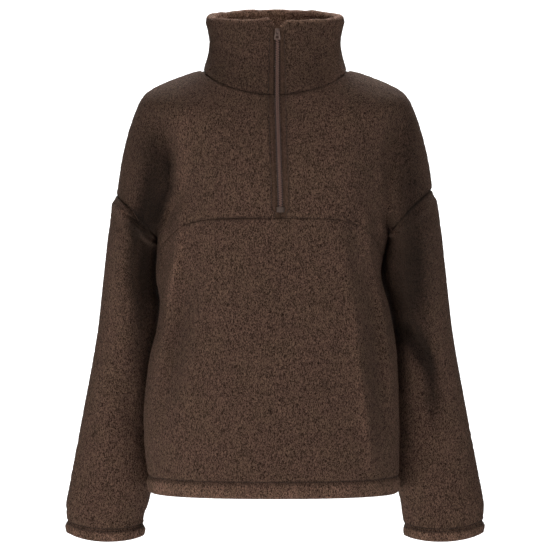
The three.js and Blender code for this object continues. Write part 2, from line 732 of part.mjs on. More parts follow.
// The cut pieces. facing is -1 where a grid turns the other way, and edge is the end that is turned up.
const panels = [
  { name: "upper_front_left", grid: upperGrid(LEFT, "front"), facing: 1 },
  { name: "upper_front_right", grid: upperGrid(RIGHT, "front"), facing: -1 },
  { name: "upper_back", grid: joinHalves(upperGrid(RIGHT, "back"), upperGrid(LEFT, "back")), facing: -1 },
  { name: "lower_front", grid: lowerGrid("front"), facing: 1, edge: "first" },
  { name: "lower_back", grid: lowerGrid("back"), facing: -1, edge: "first" },
  { name: "sleeve_left", grid: sleeveGrid(LEFT), facing: 1, closed: true, edge: "last" },
  { name: "sleeve_right", grid: sleeveGrid(RIGHT), facing: -1, closed: true, edge: "last" },
];

// The collar stands on the neck seam: across the left front, round the back and across the right front.
const neckSeam = [
  ...neckPoints(LEFT, "front"),
  ...neckPoints(LEFT, "back").reverse().slice(1),
  ...neckPoints(RIGHT, "back").slice(1),
  ...neckPoints(RIGHT, "front").reverse().slice(1),
];

function collarRing(angle, up) {
  const forward = Math.cos(angle);
  const depth = column(COLLAR, "up", forward > 0 ? "front" : "back", up);
  const x = column(COLLAR, "up", "halfWidth", up) * Math.sin(angle);
  const fromZip = Math.abs(x - zipX(RIM_FRONT));
  const notch = forward > 0 ? NOTCH_DEPTH * clamp01(1 - fromZip / NOTCH_HALF_WIDTH) : 0;
  const rim = mix(RIM_FRONT, RIM_BACK, (1 - forward) / 2) - notch;
  return new THREE.Vector3(x, -depth * forward, mix(neckZ(forward), rim, up));
}

function collarPoint(j, up) {
  const base = neckSeam[j];
  const baseDepth = column(COLLAR, "up", base.y < 0 ? "front" : "back", 0);
  const angle = Math.atan2(base.x / NECK_HALF_WIDTH, -base.y / baseDepth);
  const ring = collarRing(angle, up);
  ring.addScaledVector(base.clone().sub(collarRing(angle, 0)), (1 - up) ** 4);
  if (j === 0) ring.x = zipX(ring.z) + ZIP_EDGE;
  if (j === neckSeam.length - 1) ring.x = zipX(ring.z) - ZIP_EDGE;
  return ring;
}

const COLLAR_UPS = [0, 0.1, 0.25, 0.5, 0.78, 0.955];
const collarGrid = COLLAR_UPS.map((up) => neckSeam.map((_, j) => collarPoint(j, up)));
panels.push({ name: "collar", grid: collarGrid, facing: 1, wall: COLLAR_WALL });

for (const panel of panels) panel.normals = gridNormals(panel.grid, panel.closed, panel.facing);
shareSeamNormals(panels);

// Along the zip the edges are cut square, without a step sideways.
for (const panel of panels) {
  const atZip = panel.name === "collar" ? [0, neckSeam.length - 1] : [0];
  if (panel.name !== "collar" && !panel.name.startsWith("upper_front")) continue;
  for (const row of panel.normals) for (const j of atZip) row[j].setX(0).normalize();
}

// A free edge is round: one more row leans into the middle of the wall and goes on past the edge.
function addLip(outer, inner, at, past) {
  const lean = (from, to) => from[at].map((p, j) => p.clone().lerp(to[at][j], 0.3).add(past(j)));
  const lips = [lean(outer, inner), lean(inner, outer)];
  if (at === 0) return [[lips[0], ...outer], [lips[1], ...inner]];
  return [[...outer, lips[0]], [...inner, lips[1]]];
}

for (const panel of panels) {
  const { name, normals, facing, edge } = panel;
  const closed = panel.closed ?? false;
  let outer = drawBack(panel.grid, closed);
  const last = outer.length - 1;
  const turned = (i) => (edge ? TURNED_EDGE[edge === "first" ? i : last - i] : undefined);
  const puffed = (row, i) => row.map((p, j) => p.clone().addScaledVector(normals[i][j], turned(i)?.out ?? 0));
  outer = outer.map(puffed);
  const wallAt = (i) => turned(i)?.wall ?? (i === 0 ? CLOTH : panel.wall ?? CLOTH);
  let inner = outer.map((row, i) => row.map((p, j) => p.clone().addScaledVector(normals[i][j], -wallAt(i))));
  if (edge) {
    const at = edge === "first" ? 0 : last;
    const height = edge === "first" ? HEM_STITCH - HEM_BOTTOM : CUFF_STITCH - CUFF_BOTTOM;
    const fall = -height * TURNED_EDGE[0].up;
    const drop = new THREE.Vector3(0, 0, fall);
    [outer, inner] = addLip(outer, inner, at, () => drop);
  }
  if (name === "collar") {
    const rise = (j) => collarPoint(j, 1).sub(collarPoint(j, COLLAR_UPS[last]));
    [outer, inner] = addLip(outer, inner, last, rise);
  }
  add(name, wallGeometry(outer, inner, closed, facing), FLEECE);
}

// The zip lies on the front's own line. A place on it: a height, a step sideways, a depth behind the fleece.
function zipSurface(z) {
  if (z < NECK_FRONT) return bodyPoint(LEFT, "front", zipX(z), z);
  const collarTop = RIM_FRONT - NOTCH_DEPTH;
  const point = collarPoint(0, (z - NECK_FRONT) / (collarTop - NECK_FRONT));
  return new THREE.Vector3(zipX(z), point.y, z);
}

function zipFrame(z) {
  const across = new THREE.Vector3(1, 0, 0);
  const rise = zipSurface(z + 3).sub(zipSurface(z - 3)).setX(0).normalize();
  return { centre: zipSurface(z), up: rise, out: across.cross(rise) };
}

function zipPlace(z, sideways, behind) {
  const { centre, out } = zipFrame(z);
  return centre.clone().addScaledVector(out, -behind).add(new THREE.Vector3(sideways, 0, 0));
}

// A strip along the zip from one height to another, through the places of its front and back outline.
function zipStrip(fromZ, toZ, steps, front, back) {
  const levels = Array.from({ length: steps + 1 }, (_, i) => mix(fromZ, toZ, i / steps));
  const rows = (section) => levels.map((z) => section(z).map(([x, behind]) => zipPlace(z, x, behind)));
  return wallGeometry(rows(front), rows(back), false, 1);
}

const TAPE_BEHIND = 4.3;
const tapeReach = (z) => (z > NECK_FRONT - 12 ? ZIP_EDGE - 0.5 : TAPE_HALF_WIDTH);
for (const sign of [1, -1]) {
  const section = (behind) => (z) => {
    const ends = [[sign * 0.15, behind], [sign * tapeReach(z), behind]];
    return sign > 0 ? ends : ends.reverse();
  };
  const front = section(TAPE_BEHIND);
  const back = section(TAPE_BEHIND + TAPE_THICKNESS);
  const tape = zipStrip(ZIP_BOTTOM - 8, ZIP_TOP, 34, front, back);
  add(`zip_tape_${sign > 0 ? "left" : "right"}`, tape, WOVEN_TAPE);
}

const CHAIN_SECTION = [
  { x: -1, front: 2.9 },
  { x: -0.6, front: 1.7 },
  { x: 0, front: 1.4 },
  { x: 0.6, front: 1.7 },
  { x: 1, front: 2.9 },
];
const chainFront = () => CHAIN_SECTION.map(({ x, front }) => [x * CHAIN_HALF_WIDTH, front]);
const chainBack = () => CHAIN_SECTION.map(({ x }) => [x * CHAIN_HALF_WIDTH, TAPE_BEHIND - SEAM_GAP]);
add("zip_chain", zipStrip(ZIP_BOTTOM, ZIP_TOP, 34, chainFront, chainBack), COIL);

// The slider stands at the top of the chain. In its own frame x is across, y up the zip and z outwards.
const sliderFrame = zipFrame(ZIP_TOP);
const sliderMatrix = new THREE.Matrix4()
  .makeBasis(new THREE.Vector3(1, 0, 0), sliderFrame.up, sliderFrame.out)
  .setPosition(sliderFrame.centre);

function box(width, length, height, x, y, z) {
  return new THREE.BoxGeometry(width, length, height).translate(x, y, z);
}

function solid(geometry) {
  const bare = new THREE.BufferGeometry().setAttribute("position", geometry.getAttribute("position"));
  if (geometry.index) bare.setIndex(geometry.index);
  const merged = mergeVertices(bare, 1e-4);
  const mesh = new wasm.Mesh({
    numProp: 3,
    vertProperties: merged.getAttribute("position").array,
    triVerts: Uint32Array.from(merged.index.array),
  });
  return new wasm.Manifold(mesh);
}

function geometryOf(manifold) {
  const mesh = manifold.getMesh();
  const geometry = new THREE.BufferGeometry();
  geometry.setAttribute("position", new THREE.BufferAttribute(mesh.vertProperties, 3));
  geometry.setIndex(new THREE.BufferAttribute(mesh.triVerts, 1));
  return geometry;
}

// Plan of a plate with rounded corners that narrows towards the bottom, as an extruded solid.
function plate(width, bottomWidth, length, thickness, corner) {
  const shape = new THREE.Shape();
  const places = [
    [-bottomWidth / 2, -length / 2],
    [bottomWidth / 2, -length / 2],
    [width / 2, length / 2],
    [-width / 2, length / 2],
  ];
  places.forEach(([x, y], i) => {
    const [px, py] = places[(i + 3) % 4];
    const [nx, ny] = places[(i + 1) % 4];
    const before = Math.hypot(px - x, py - y);
    const after = Math.hypot(nx - x, ny - y);
    const from = [x + ((px - x) * corner) / before, y + ((py - y) * corner) / before];
    const to = [x + ((nx - x) * corner) / after, y + ((ny - y) * corner) / after];
    if (i === 0) shape.moveTo(...from);
    else shape.lineTo(...from);
    shape.quadraticCurveTo(x, y, ...to);
  });
  shape.closePath();
  return { shape, thickness };
}

const extruded = ({ shape, thickness }) =>
  new THREE.ExtrudeGeometry(shape, { depth: thickness, bevelEnabled: false, curveSegments: 5 });

const PLATE_TOP = 0.2; // the slider's front plate stands a little proud of the fleece's face
const PIVOT_HEIGHT = PLATE_TOP + 0.35 + BRIDGE.hole / 2;
const plateMiddle = PLATE_TOP - SLIDER.plate / 2;
const backMiddle = PLATE_TOP - SLIDER.plate - SLIDER.chainSpace - SLIDER.plate / 2;
const sliderCentre = SLIDER.length / 2 - 1.2;

function sliderSolid() {
  const outline = plate(SLIDER.width, SLIDER.width - 1.6, SLIDER.length, SLIDER.plate, 2);
  const front = extruded(outline).translate(0, sliderCentre, plateMiddle - SLIDER.plate / 2);
  const back = extruded(outline).translate(0, sliderCentre, backMiddle - SLIDER.plate / 2);
  const postY = SLIDER.length - 1.2 - SLIDER.post / 2 - 0.6;
  const postHeight = SLIDER.chainSpace + SLIDER.plate;
  const post = box(SLIDER.post, SLIDER.post, postHeight, 0, postY, (plateMiddle + backMiddle) / 2);
  const bridgeZ = PLATE_TOP + BRIDGE.height / 2 - 0.25;
  const bridge = box(BRIDGE.width, BRIDGE.length, BRIDGE.height + 0.5, 0, sliderCentre, bridgeZ);
  const eye = box(BRIDGE.width + 2, BRIDGE.hole, BRIDGE.hole, 0, sliderCentre, PIVOT_HEIGHT);
  return solid(front).add(solid(back)).add(solid(post)).add(solid(bridge)).subtract(solid(eye));
}

// The pull tab: a bar through the bridge's eye, two short limbs and a plate with a round hole.
function pullSolid() {
  const middle = PULL.bar / 2 - PULL.length / 2;
  const outline = plate(PULL.topWidth, PULL.bottomWidth, PULL.length, PULL.thickness, 1.6);
  const slot = new THREE.Path();
  const halfSlot = PULL.slotWidth / 2;
  const slotTop = PULL.length / 2 - PULL.bar;
  slot.moveTo(-halfSlot, slotTop);
  slot.lineTo(halfSlot, slotTop);
  slot.lineTo(halfSlot, slotTop - PULL.slot);
  slot.lineTo(-halfSlot, slotTop - PULL.slot);
  slot.closePath();
  const hole = new THREE.Path();
  hole.absellipse(0, -PULL.length / 2 + 3.7, 2.6, 2.1, 0, 2 * Math.PI, true);
  outline.shape.holes.push(slot, hole);
  return extruded(outline).translate(0, sliderCentre + middle, PIVOT_HEIGHT - PULL.thickness / 2);
}

add("zip_slider", geometryOf(sliderSolid()), DYED_METAL).applyMatrix4(sliderMatrix);
add("pull_tab", pullSolid(), DYED_METAL).applyMatrix4(sliderMatrix);

export default garment;
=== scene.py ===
# %% [markdown]
# # A pile fleece pullover, filled out as if worn
#
# A half-zip in brown sherpa with a tall funnel collar, a yoke seam, drop shoulders and wide sleeves.
# Each cut piece is a thin shell on the form of its solid: a cloth simulation would give other creases on
# each run, and a subdivided box would look stuffed. Clumps of pile are relief in the shell, and the finer
# curls and clefts are in the material.

# %% Start
import math
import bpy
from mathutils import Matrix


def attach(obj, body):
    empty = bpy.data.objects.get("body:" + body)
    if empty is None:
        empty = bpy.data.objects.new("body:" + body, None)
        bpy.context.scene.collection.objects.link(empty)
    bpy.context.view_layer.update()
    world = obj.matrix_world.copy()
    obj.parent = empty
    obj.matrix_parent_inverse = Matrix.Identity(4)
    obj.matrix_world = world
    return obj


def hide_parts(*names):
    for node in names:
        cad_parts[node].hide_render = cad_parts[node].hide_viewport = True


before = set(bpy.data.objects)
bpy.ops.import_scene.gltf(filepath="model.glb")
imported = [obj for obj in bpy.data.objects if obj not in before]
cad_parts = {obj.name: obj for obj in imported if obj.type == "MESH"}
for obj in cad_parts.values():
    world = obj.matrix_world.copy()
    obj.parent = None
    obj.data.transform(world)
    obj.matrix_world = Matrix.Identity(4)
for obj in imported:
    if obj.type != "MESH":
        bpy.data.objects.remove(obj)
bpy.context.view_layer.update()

from types import SimpleNamespace

import bpy
import numpy as np
from mathutils import Vector

MM = 0.001
SEED = 7
bpy.context.scene.view_settings.view_transform = "Standard"


def put(name, data):
    """A new object in the scene for a mesh, a light or a camera."""
    obj = bpy.data.objects.new(name, data)
    bpy.context.collection.objects.link(obj)
    return obj


# %% [markdown]
# The camera comes first, because every form is judged against the photo from its place. The photo shows
# the garment level and straight from the front, so it stands 3 m away, level with the middle, and its lens
# makes the picture 0.825 m wide there.

# %% Camera
CAMERA_AWAY, CAMERA_HEIGHT, PICTURE_WIDTH = 3, -0.3075, 0.825
camera_data = bpy.data.cameras.new("camera")
camera = put("camera", camera_data)
camera.location = (0, -CAMERA_AWAY, CAMERA_HEIGHT)
camera.rotation_euler = (math.pi / 2, 0, 0)
camera_data.sensor_width = 36
camera_data.lens = camera_data.sensor_width * CAMERA_AWAY / PICTURE_WIDTH
camera_data.clip_end = 30
bpy.context.scene.camera = camera
print("camera lens", round(camera_data.lens, 1), "mm")

# %% [markdown]
# Named sizes in millimetres, as a pattern cutter would list them. A side is one half of the garment, and
# the wearer's left arm is on +X. Heights are z, measured from the high shoulder points.

# %% Sizes
CLOTH = 3.4  # the shell, one layer
DOUBLE = 7.4  # the shell where the cloth is turned up
PILE = 0.7  # how far the base of the pile lies under the solid's face
HEM_BOTTOM, HEM_STITCH = -630, -605
CUFF_BOTTOM, CUFF_STITCH = -704, -685
YOKE_CENTRE, YOKE_SIDE, YOKE_DEEPEST = -226, -279, -56  # two heights, and the x of the deepest place
NECK_FRONT, NECK_BACK, NECK_HALF_WIDTH = -44, 15, 108
RIM_FRONT, RIM_BACK = 66, 101
NOTCH_DEPTH, NOTCH_HALF_WIDTH = 11, 13.5
RIM_ROLL = 15  # thickness of the collar at its rolled rim
ZIP_EDGE, ZIP_BOTTOM, ZIP_TOP = 4, -211, 44
SLEEVE_CLEARANCE = 2.4
ARMHOLE_BOW = 5
CUFF_TILT, CUFF_DROOP = 2.5, 3.5
TUCK = 10  # below the armpit the sleeve fills the space behind the torso's side
TUCK_ANGLES = (178, 262)  # from the sleeve's inner side round to its back
ZIP_STITCH = 8.4  # from the zip's edge to the topstitching
UNDERARM_REACH = 12  # where sleeve and body meet they touch, with no pile squeezed between


def table(names, *rows):
    return dict(zip(names.split(), np.array(rows, dtype=float).T))


LEFT = SimpleNamespace(sign=1, name="left", high_z=-180, under_x=170, under_z=-243, tuck_rise=6)
RIGHT = SimpleNamespace(sign=-1, name="right", high_z=-188, under_x=176, under_z=-252, tuck_rise=28)

ZIP_LINE = table("z x", (66, 3.5), (-44, 3), (-120, 5), (-226, 8), (-300, 6), (-630, 0))
print("body", -HEM_BOTTOM, "mm from shoulder to hem, zip", ZIP_TOP - ZIP_BOTTOM, "mm")

# %% [markdown]
# The worn shape as tables of numbers read off the photo: outline, torso and arms by height. A fitted avatar
# could give them too, but a filled-out garment with no wearer has its own, softer shape.

# %% Torso and arm tables
# The garment's outer edge seen from the front: the shoulder line, then the outside of the sleeve.
OUTLINE = table(
    "z x",
    (1, 108), (-7, 134), (-15, 154.5), (-22, 171), (-30, 186), (-37, 195), (-45, 201), (-60, 208),
    (-78, 215), (-114, 225), (-150, 232), (-176, 235.5), (-186, 238), (-194, 242), (-240, 248.5),
    (-312, 258), (-384, 267), (-420, 273), (-492, 287), (-564, 300.5), (-636, 313.5), (-662, 317),
    (-674, 316), (-720, 316),
)

# Half width of the torso; above the underarm it is where the chest rolls into the armpit crease.
TORSO_WIDTH = table(
    "z right left",
    (20, 300, 300), (-30, 270, 270), (-60, 215, 220), (-90, 176, 186), (-130, 157, 174),
    (-165, 150, 171), (-190, 153, 170), (-220, 166, 170), (-243, 174, 170), (-252, 176, 168.5),
    (-284, 177, 161), (-300, 178, 158.5), (-318, 177, 160), (-345, 172, 168), (-390, 177, 177),
    (-430, 187, 182), (-514, 196, 185), (-562, 194.5, 185.5), (-605, 190, 185), (-640, 188, 186),
)

# Depth of the torso in front of and behind its middle plane, and the fullness of its corners.
TORSO_DEPTH = table(
    "z front back corner",
    (20, 62, 66, 3.0), (0, 70, 80, 3.0), (-18, 78, 92, 3.0), (-44, 92, 104, 3.0), (-80, 110, 112, 3.0),
    (-130, 124, 116, 3.0), (-180, 129, 114, 2.9), (-243, 128, 110, 2.7), (-300, 123, 109, 2.5),
    (-400, 117, 110, 2.4), (-500, 120, 114, 2.4), (-590, 123, 117, 2.4), (-640, 118, 112, 2.4),
)

# The arm above the underarm: its inner edge on each side and the radius of its outer edge.
ARM_INNER = table(
    "z right left round",
    (20, -60, -60, 60), (-40, -60, -60, 74), (-80, -60, -60, 74), (-130, -30, -20, 62),
    (-170, 50, 66, 52), (-200, 100, 116, 45), (-225, 138, 150, 41), (-243, 165, 170, 39),
    (-252, 176, 172, 38),
)

# The forearm's inner edge, where it shows below the hem.
CUFF_INNER = table(
    "z right left",
    (-636, 188, 187), (-650, 191, 190), (-664, 195, 192), (-675, 199, 193.5), (-690, 198, 195),
    (-720, 199, 196),
)

# The arm's half depth and its middle plane, which falls back behind the torso's side.
ARM_DEPTH = table(
    "z depth middle",
    (20, 74, 0), (-40, 80, 0), (-80, 84, 0), (-130, 87, 0), (-200, 88, 0), (-243, 87, 0), (-252, 87, 1),
    (-270, 85, 5), (-300, 81, 12), (-342, 77, 20), (-400, 70, 29), (-440, 66, 35), (-515, 58, 42),
    (-600, 49, 40), (-660, 42, 34), (-689, 38, 31), (-720, 37, 31),
)

# How softly the torso and the arm run into each other.
BLEND = table("z width", (20, 40), (-60, 40), (-130, 30), (-190, 16), (-230, 8), (-252, 2))

print("outline", len(OUTLINE["z"]), "places, widest", 2 * OUTLINE["x"].max(), "mm")

# %% [markdown]
# The main creases fall from the armpits and down the sides of the front, uneven as on worn cloth, and similar
# ones lie on the back, which the photo hides. They are placed as soft lines, where a simulation would not put
# them where the photo has them.

# %% Folds
# Large soft folds: ridges have a height over 0 and troughs one under 0.
FOLD_NAMES = "x1 z1 x2 z2 spread height"
FOLDS = dict(
    front=table(
        FOLD_NAMES,
        (-136, -200, -150, -312, 9, 9), (-148, -290, -172, -400, 10, 9), (-153, -206, -171, -340, 11, -14),
        (130, -214, 150, -320, 9, 7), (148, -300, 168, -392, 10, 6), (147, -222, 162, -322, 10, -12),
        (-120, -310, -162, -510, 16, -14), (98, -246, 117, -400, 11, 6), (117, -380, 143, -602, 11, 8),
        (136, -310, 161, -530, 13, -13), (-60, -330, -66, -540, 30, 3),
        (-176, -70, -158, -150, 20, -6), (186, -80, 178, -160, 16, -6),
        (-158, -112, -160, -186, 13, -10), (-162, -170, -184, -230, 13, -13),
        (-152, -120, -153, -190, 7, -9), (-154, -176, -176, -232, 7, -12),
        (176, -86, 180, -168, 14, -11), (178, -152, 182, -230, 14, -12),
        (168, -104, 168, -234, 7, -12),
    ),
    back=table(
        FOLD_NAMES,
        (-140, -150, -150, -330, 16, 5), (138, -160, 148, -320, 16, 5),
        (-90, -260, -104, -560, 24, -6), (86, -300, 96, -575, 24, -5),
        (-8, -380, 4, -560, 34, 4),
    ),
)

print("folds", {face: len(lines["x1"]) for face, lines in FOLDS.items()})

# %% [markdown]
# The form comes from curves through the tables. Each function takes arrays of places, with x counted
# outwards from the centre, so thousands of points are worked out at once.

# %% Curves
def column(t, name, at, key="z"):
    """A smooth curve through one column of a table, over another column."""
    place, value = t[key], t[name]
    if place[0] > place[-1]:
        place, value = place[::-1], value[::-1]
    at = np.clip(np.asarray(at, dtype=float), place[0], place[-1])
    i = np.clip(np.searchsorted(place, at, side="right") - 1, 0, len(place) - 2)
    slope = np.empty_like(value)
    slope[1:-1] = (value[2:] - value[:-2]) / (place[2:] - place[:-2])
    slope[0] = (value[1] - value[0]) / (place[1] - place[0])
    slope[-1] = (value[-1] - value[-2]) / (place[-1] - place[-2])
    span, rise = place[i + 1] - place[i], value[i + 1] - value[i]

    def held(s):
        most = np.minimum(np.abs(s), 3 * np.abs(rise) / span)
        return np.where(rise * s <= 0, 0, np.sign(rise) * most) * span

    t1 = (at - place[i]) / span
    start, end = held(slope[i]), held(slope[i + 1])
    return value[i] + rise * (3 - 2 * t1) * t1 * t1 + start * t1 * (1 - t1) ** 2 - end * t1 * t1 * (1 - t1)


def mix(a, b, t):
    return a + (b - a) * t


def clamp01(v):
    return np.clip(v, 0, 1)


def outline_x(z):
    return column(OUTLINE, "x", z)


outline_z = np.arange(OUTLINE["z"][0], OUTLINE["z"][-1], -3)
outline_line = np.stack([outline_x(outline_z), outline_z], axis=1)


def outline_distance(x, z):
    """Distance inwards from the outline in the front view, and the direction inwards."""
    a, d = outline_line[:-1], np.diff(outline_line, axis=0)
    length2 = (d**2).sum(1)
    px, pz = np.ravel(x), np.ravel(z)
    away = np.empty(px.size)
    inwards = np.empty((px.size, 2))
    side = np.stack([d[:, 1], -d[:, 0]], axis=1) / np.sqrt(length2)[:, None]
    for start in range(0, px.size, 8000):
        part = slice(start, start + 8000)
        qx, qz = px[part, None] - a[:, 0], pz[part, None] - a[:, 1]
        along = np.clip((qx * d[:, 0] + qz * d[:, 1]) / length2, 0, 1)
        gap = (qx - along * d[:, 0]) ** 2 + (qz - along * d[:, 1]) ** 2
        nearest = gap.argmin(1)
        away[part] = np.sqrt(gap.min(1))
        inwards[part] = side[nearest]
    away[(px > outline_x(pz)) & (pz < OUTLINE["z"][0])] = 0
    return away.reshape(np.shape(x)), inwards.reshape(np.shape(x) + (2,))


print("outline at elbow height", round(float(outline_x(-400)), 1), "mm from the centre")

# %% [markdown]
# The torso is a rounded oval at each height and the arm a rounder one beside it. The arm's inner edge stays
# clear of the torso, or the cloth of the two would cut through each other below the armpit.

# %% Torso and arm
def torso_width(side, z):
    return column(TORSO_WIDTH, side.name, z)


def torso_middle(z):
    return -12 * clamp01((-252 - z) / 148)


def arm_middle(z):
    return column(ARM_DEPTH, "middle", z)


def torso_reach(side, y, z):
    """Half width of the torso at a distance y from front to back."""
    off = y - torso_middle(z)
    depth = np.where(off < 0, column(TORSO_DEPTH, "front", z), column(TORSO_DEPTH, "back", z))
    n = column(TORSO_DEPTH, "corner", z)
    share = np.minimum(np.abs(off) / depth, 1)
    return torso_width(side, z) * (1 - share**n) ** (1 / n)


def clear_inner(side, z):
    """Beside the torso the arm's inner edge lies as far in as the torso's side lets it."""
    share = np.arange(-8, 9) / 9
    reach = torso_reach(side, arm_middle(z) + column(ARM_DEPTH, "depth", z) * share, z)
    inner = float(torso_width(side, z)) - 16
    while True:
        half = (outline_x(z) - inner) / 2
        if (inner + half - half * np.sqrt(1 - share**2) >= reach + SLEEVE_CLEARANCE).all():
            return inner
        inner += 0.5


def inner_table(side):
    name = side.name
    rows = [(z, x) for z, x in zip(ARM_INNER["z"], ARM_INNER[name]) if z > side.under_z - 1]
    rows.append((side.under_z - 2, side.under_x + 1.5))
    rows += [(z, clear_inner(side, z)) for z in range(side.under_z - 20, -620, -20)]
    rows += list(zip(CUFF_INNER["z"], CUFF_INNER[name]))
    return table("z x", *rows)


for one in (LEFT, RIGHT):
    one.inner = inner_table(one)


def arm_inner(side, z):
    return column(side.inner, "x", z)


def arm_round(side, z):
    half = (outline_x(z) - arm_inner(side, z)) / 2
    return mix(half, column(ARM_INNER, "round", z), clamp01((z - side.under_z) / 40) * (z > side.under_z))


print("sleeve's inner edge at elbow height", round(float(arm_inner(LEFT, -400)), 1), "mm")

# %% [markdown]
# Torso and arm run softly into each other over the shoulder, like the cloth on a real shoulder. The folds
# are added on top and fade out towards the edge of the outline, so the outline stays true.

# %% Joined form
def along_lines(lines, x, z):
    """The sum of soft lines at each place; each fades over its spread and towards its ends."""
    total = np.zeros(np.shape(x))
    for x1, z1, x2, z2, spread, height in zip(*(lines[k] for k in FOLD_NAMES.split())):
        dx, dz = x2 - x1, z2 - z1
        along = clamp01(((x - x1) * dx + (z - z1) * dz) / (dx * dx + dz * dz))
        away2 = (x - x1 - along * dx) ** 2 + (z - z1 - along * dz) ** 2
        total += height * np.sin(np.pi * mix(0.12, 0.88, along)) * np.exp(-away2 / spread**2)
    return total


def superellipse(t, n):
    inside = np.clip(1 - np.minimum(t, 1) ** n, 0, 1) ** (1 / n)
    return np.where(t < 1, inside, -6 * (t - 1))


def torso_depth(side, face, x, z):
    share = superellipse(np.abs(x) / torso_width(side, z), column(TORSO_DEPTH, "corner", z))
    return column(TORSO_DEPTH, face, z) * share


def arm_depth(side, x, z):
    middle = outline_x(z) - arm_round(side, z)
    t = np.maximum(middle - x, 0) / (middle - arm_inner(side, z))
    return column(ARM_DEPTH, "depth", z) * superellipse(t, 2)


def joined_depth(side, face, x, z):
    torso, arm = torso_depth(side, face, x, z), arm_depth(side, x, z)
    width = column(BLEND, "width", z)
    near = np.maximum(width - np.abs(torso - arm), 0) / width
    return np.maximum(np.maximum(torso, arm) + near * near * width / 4, 0)


def edge_share(side, z, away):
    reach = clamp01(away / arm_round(side, z))
    return np.sqrt(np.maximum(1 - (1 - reach) ** 2, 0))


def upper_depth(side, face, x, z):
    full = joined_depth(side, face, x, z) * edge_share(side, z, outline_distance(x, z)[0])
    return full + along_lines(FOLDS[face], side.sign * x, z) * clamp01(full / 60)


def lower_depth(side, face, x, z):
    plain = np.maximum(torso_depth(side, face, x, z), 0)
    return plain + along_lines(FOLDS[face], side.sign * x, z) * clamp01(plain / 60)


def body_points(side, face, x, z):
    """Places on the body of one side and one face."""
    x, z = np.broadcast_arrays(np.asarray(x, float), np.asarray(z, float))
    depth = np.where(z > side.under_z, upper_depth(side, face, x, z), lower_depth(side, face, x, z))
    out = -1 if face == "front" else 1
    return np.stack([side.sign * x, torso_middle(z) + out * depth, z], axis=-1)


print("chest depth", np.ptp([body_points(LEFT, face, 60, -130)[1] for face in FOLDS]).round(), "mm")

# %% [markdown]
# Every grid needs even spacing, so that its squares are alike and the pile looks the same everywhere.
# Costly points are worked out sparsely, and the rows between them follow smooth curves.

# %% Even spacing
def lengths_along(line):
    """How far along a line of close points each of them lies."""
    return np.concatenate([[0], np.cumsum(np.linalg.norm(np.diff(line, axis=0), axis=1))])


def points_at(line, at, want):
    return np.stack([np.interp(want, at, line[:, k]) for k in range(3)], axis=1)


def evenly(points, count):
    """count + 1 places evenly spaced along a line of close points."""
    at = lengths_along(points)
    return points_at(points, at, np.linspace(0, at[-1], count + 1))


def smoother(grid, factor, axis):
    """More rows or columns on smooth curves through the ones that are there."""
    g = np.moveaxis(grid, axis, 0)
    n = len(g)
    at = np.linspace(0, n - 1, (n - 1) * factor + 1)
    i = np.clip(at.astype(int), 0, n - 2)
    t = (at - i).reshape(-1, *[1] * (g.ndim - 1))
    first, last = 2 * g[:1] - g[1:2], 2 * g[-1:] - g[-2:-1]
    e = np.concatenate([first, g, last])
    a, b, c, d = e[i], e[i + 1], e[i + 2], e[i + 3]
    made = b + 0.5 * t * (c - a + t * (2 * a - 5 * b + 4 * c - d + t * (3 * (b - c) + d - a)))
    return np.moveaxis(made, 0, axis)


print("three rows become", len(smoother(np.zeros((3, 2, 3)), 5, 0)))

# %% [markdown]
# The seams are lines on the form: neck, armholes, shoulders, yoke. Neighbouring pieces share them, so the
# cut pieces meet without a gap.

# %% Seams
def neck_z(c):
    return (NECK_FRONT - NECK_BACK) / 2 * c + (NECK_FRONT + NECK_BACK) / 2 * c * c


def zip_x(z):
    return column(ZIP_LINE, "x", z)


def start_x(side, face, z):
    """Where a piece begins at the zip or at the centre."""
    if face == "back":
        return np.zeros(np.shape(z))
    open_part = ZIP_EDGE * clamp01((np.asarray(z, float) - YOKE_CENTRE - 8) / 4) * (np.asarray(z) > YOKE_CENTRE)
    return side.sign * zip_x(z) + open_part


def armhole_line(side, face, count):
    t = 0.5 - 0.5 * np.cos(np.linspace(0, np.pi, 1200))
    high_x = float(outline_x(side.high_z))
    z = mix(side.under_z, side.high_z, t) + ARMHOLE_BOW * np.sin(np.pi * t)
    points = evenly(body_points(side, face, mix(side.under_x, high_x, t), z), count)
    points[0] = (side.sign * side.under_x, 0, side.under_z)
    points[-1] = (side.sign * high_x, 0, side.high_z)
    return points


def neck_line(side, face, count):
    angle = np.linspace(0, np.pi / 2, 600)
    c = np.cos(angle) * (1 if face == "front" else -1)
    z = neck_z(c)
    x = np.maximum(NECK_HALF_WIDTH * np.sin(angle), start_x(side, face, z))
    points = body_points(side, face, x, z)
    last = 470
    turn = np.linspace(0, np.pi / 2, len(points) - last)
    points[last:, 1] = points[last, 1] * np.cos(turn)
    points[-1] = (side.sign * NECK_HALF_WIDTH, 0, 0)
    return evenly(points, count)


def shoulder_line(side, count):
    z = side.high_z * np.linspace(0, 1, 1500) ** 1.6
    x = np.where(z == 0, NECK_HALF_WIDTH, outline_x(z))
    return evenly(np.stack([side.sign * x, 0 * z, z], axis=1), count)


def side_place(side, z):
    z = np.asarray(z, float)
    return np.stack([side.sign * torso_width(side, z), torso_middle(z), z], axis=-1)


def level_row(side, face, centre_z, side_z, count):
    """A line round one half of the body, which may drop towards the side seam."""
    end_x = float(torso_width(side, side_z))
    first = math.asin(float(start_x(side, face, centre_z)) / end_x)
    s = np.sin(np.linspace(first, math.pi / 2, 700))
    z = mix(centre_z, side_z, np.maximum(s, 0) ** 6)
    row = evenly(body_points(side, face, end_x * s, z), count)
    row[-1] = side_place(side, side_z)
    return row


print("armhole, front half", lengths_along(armhole_line(LEFT, "front", 50))[-1].round(), "mm")

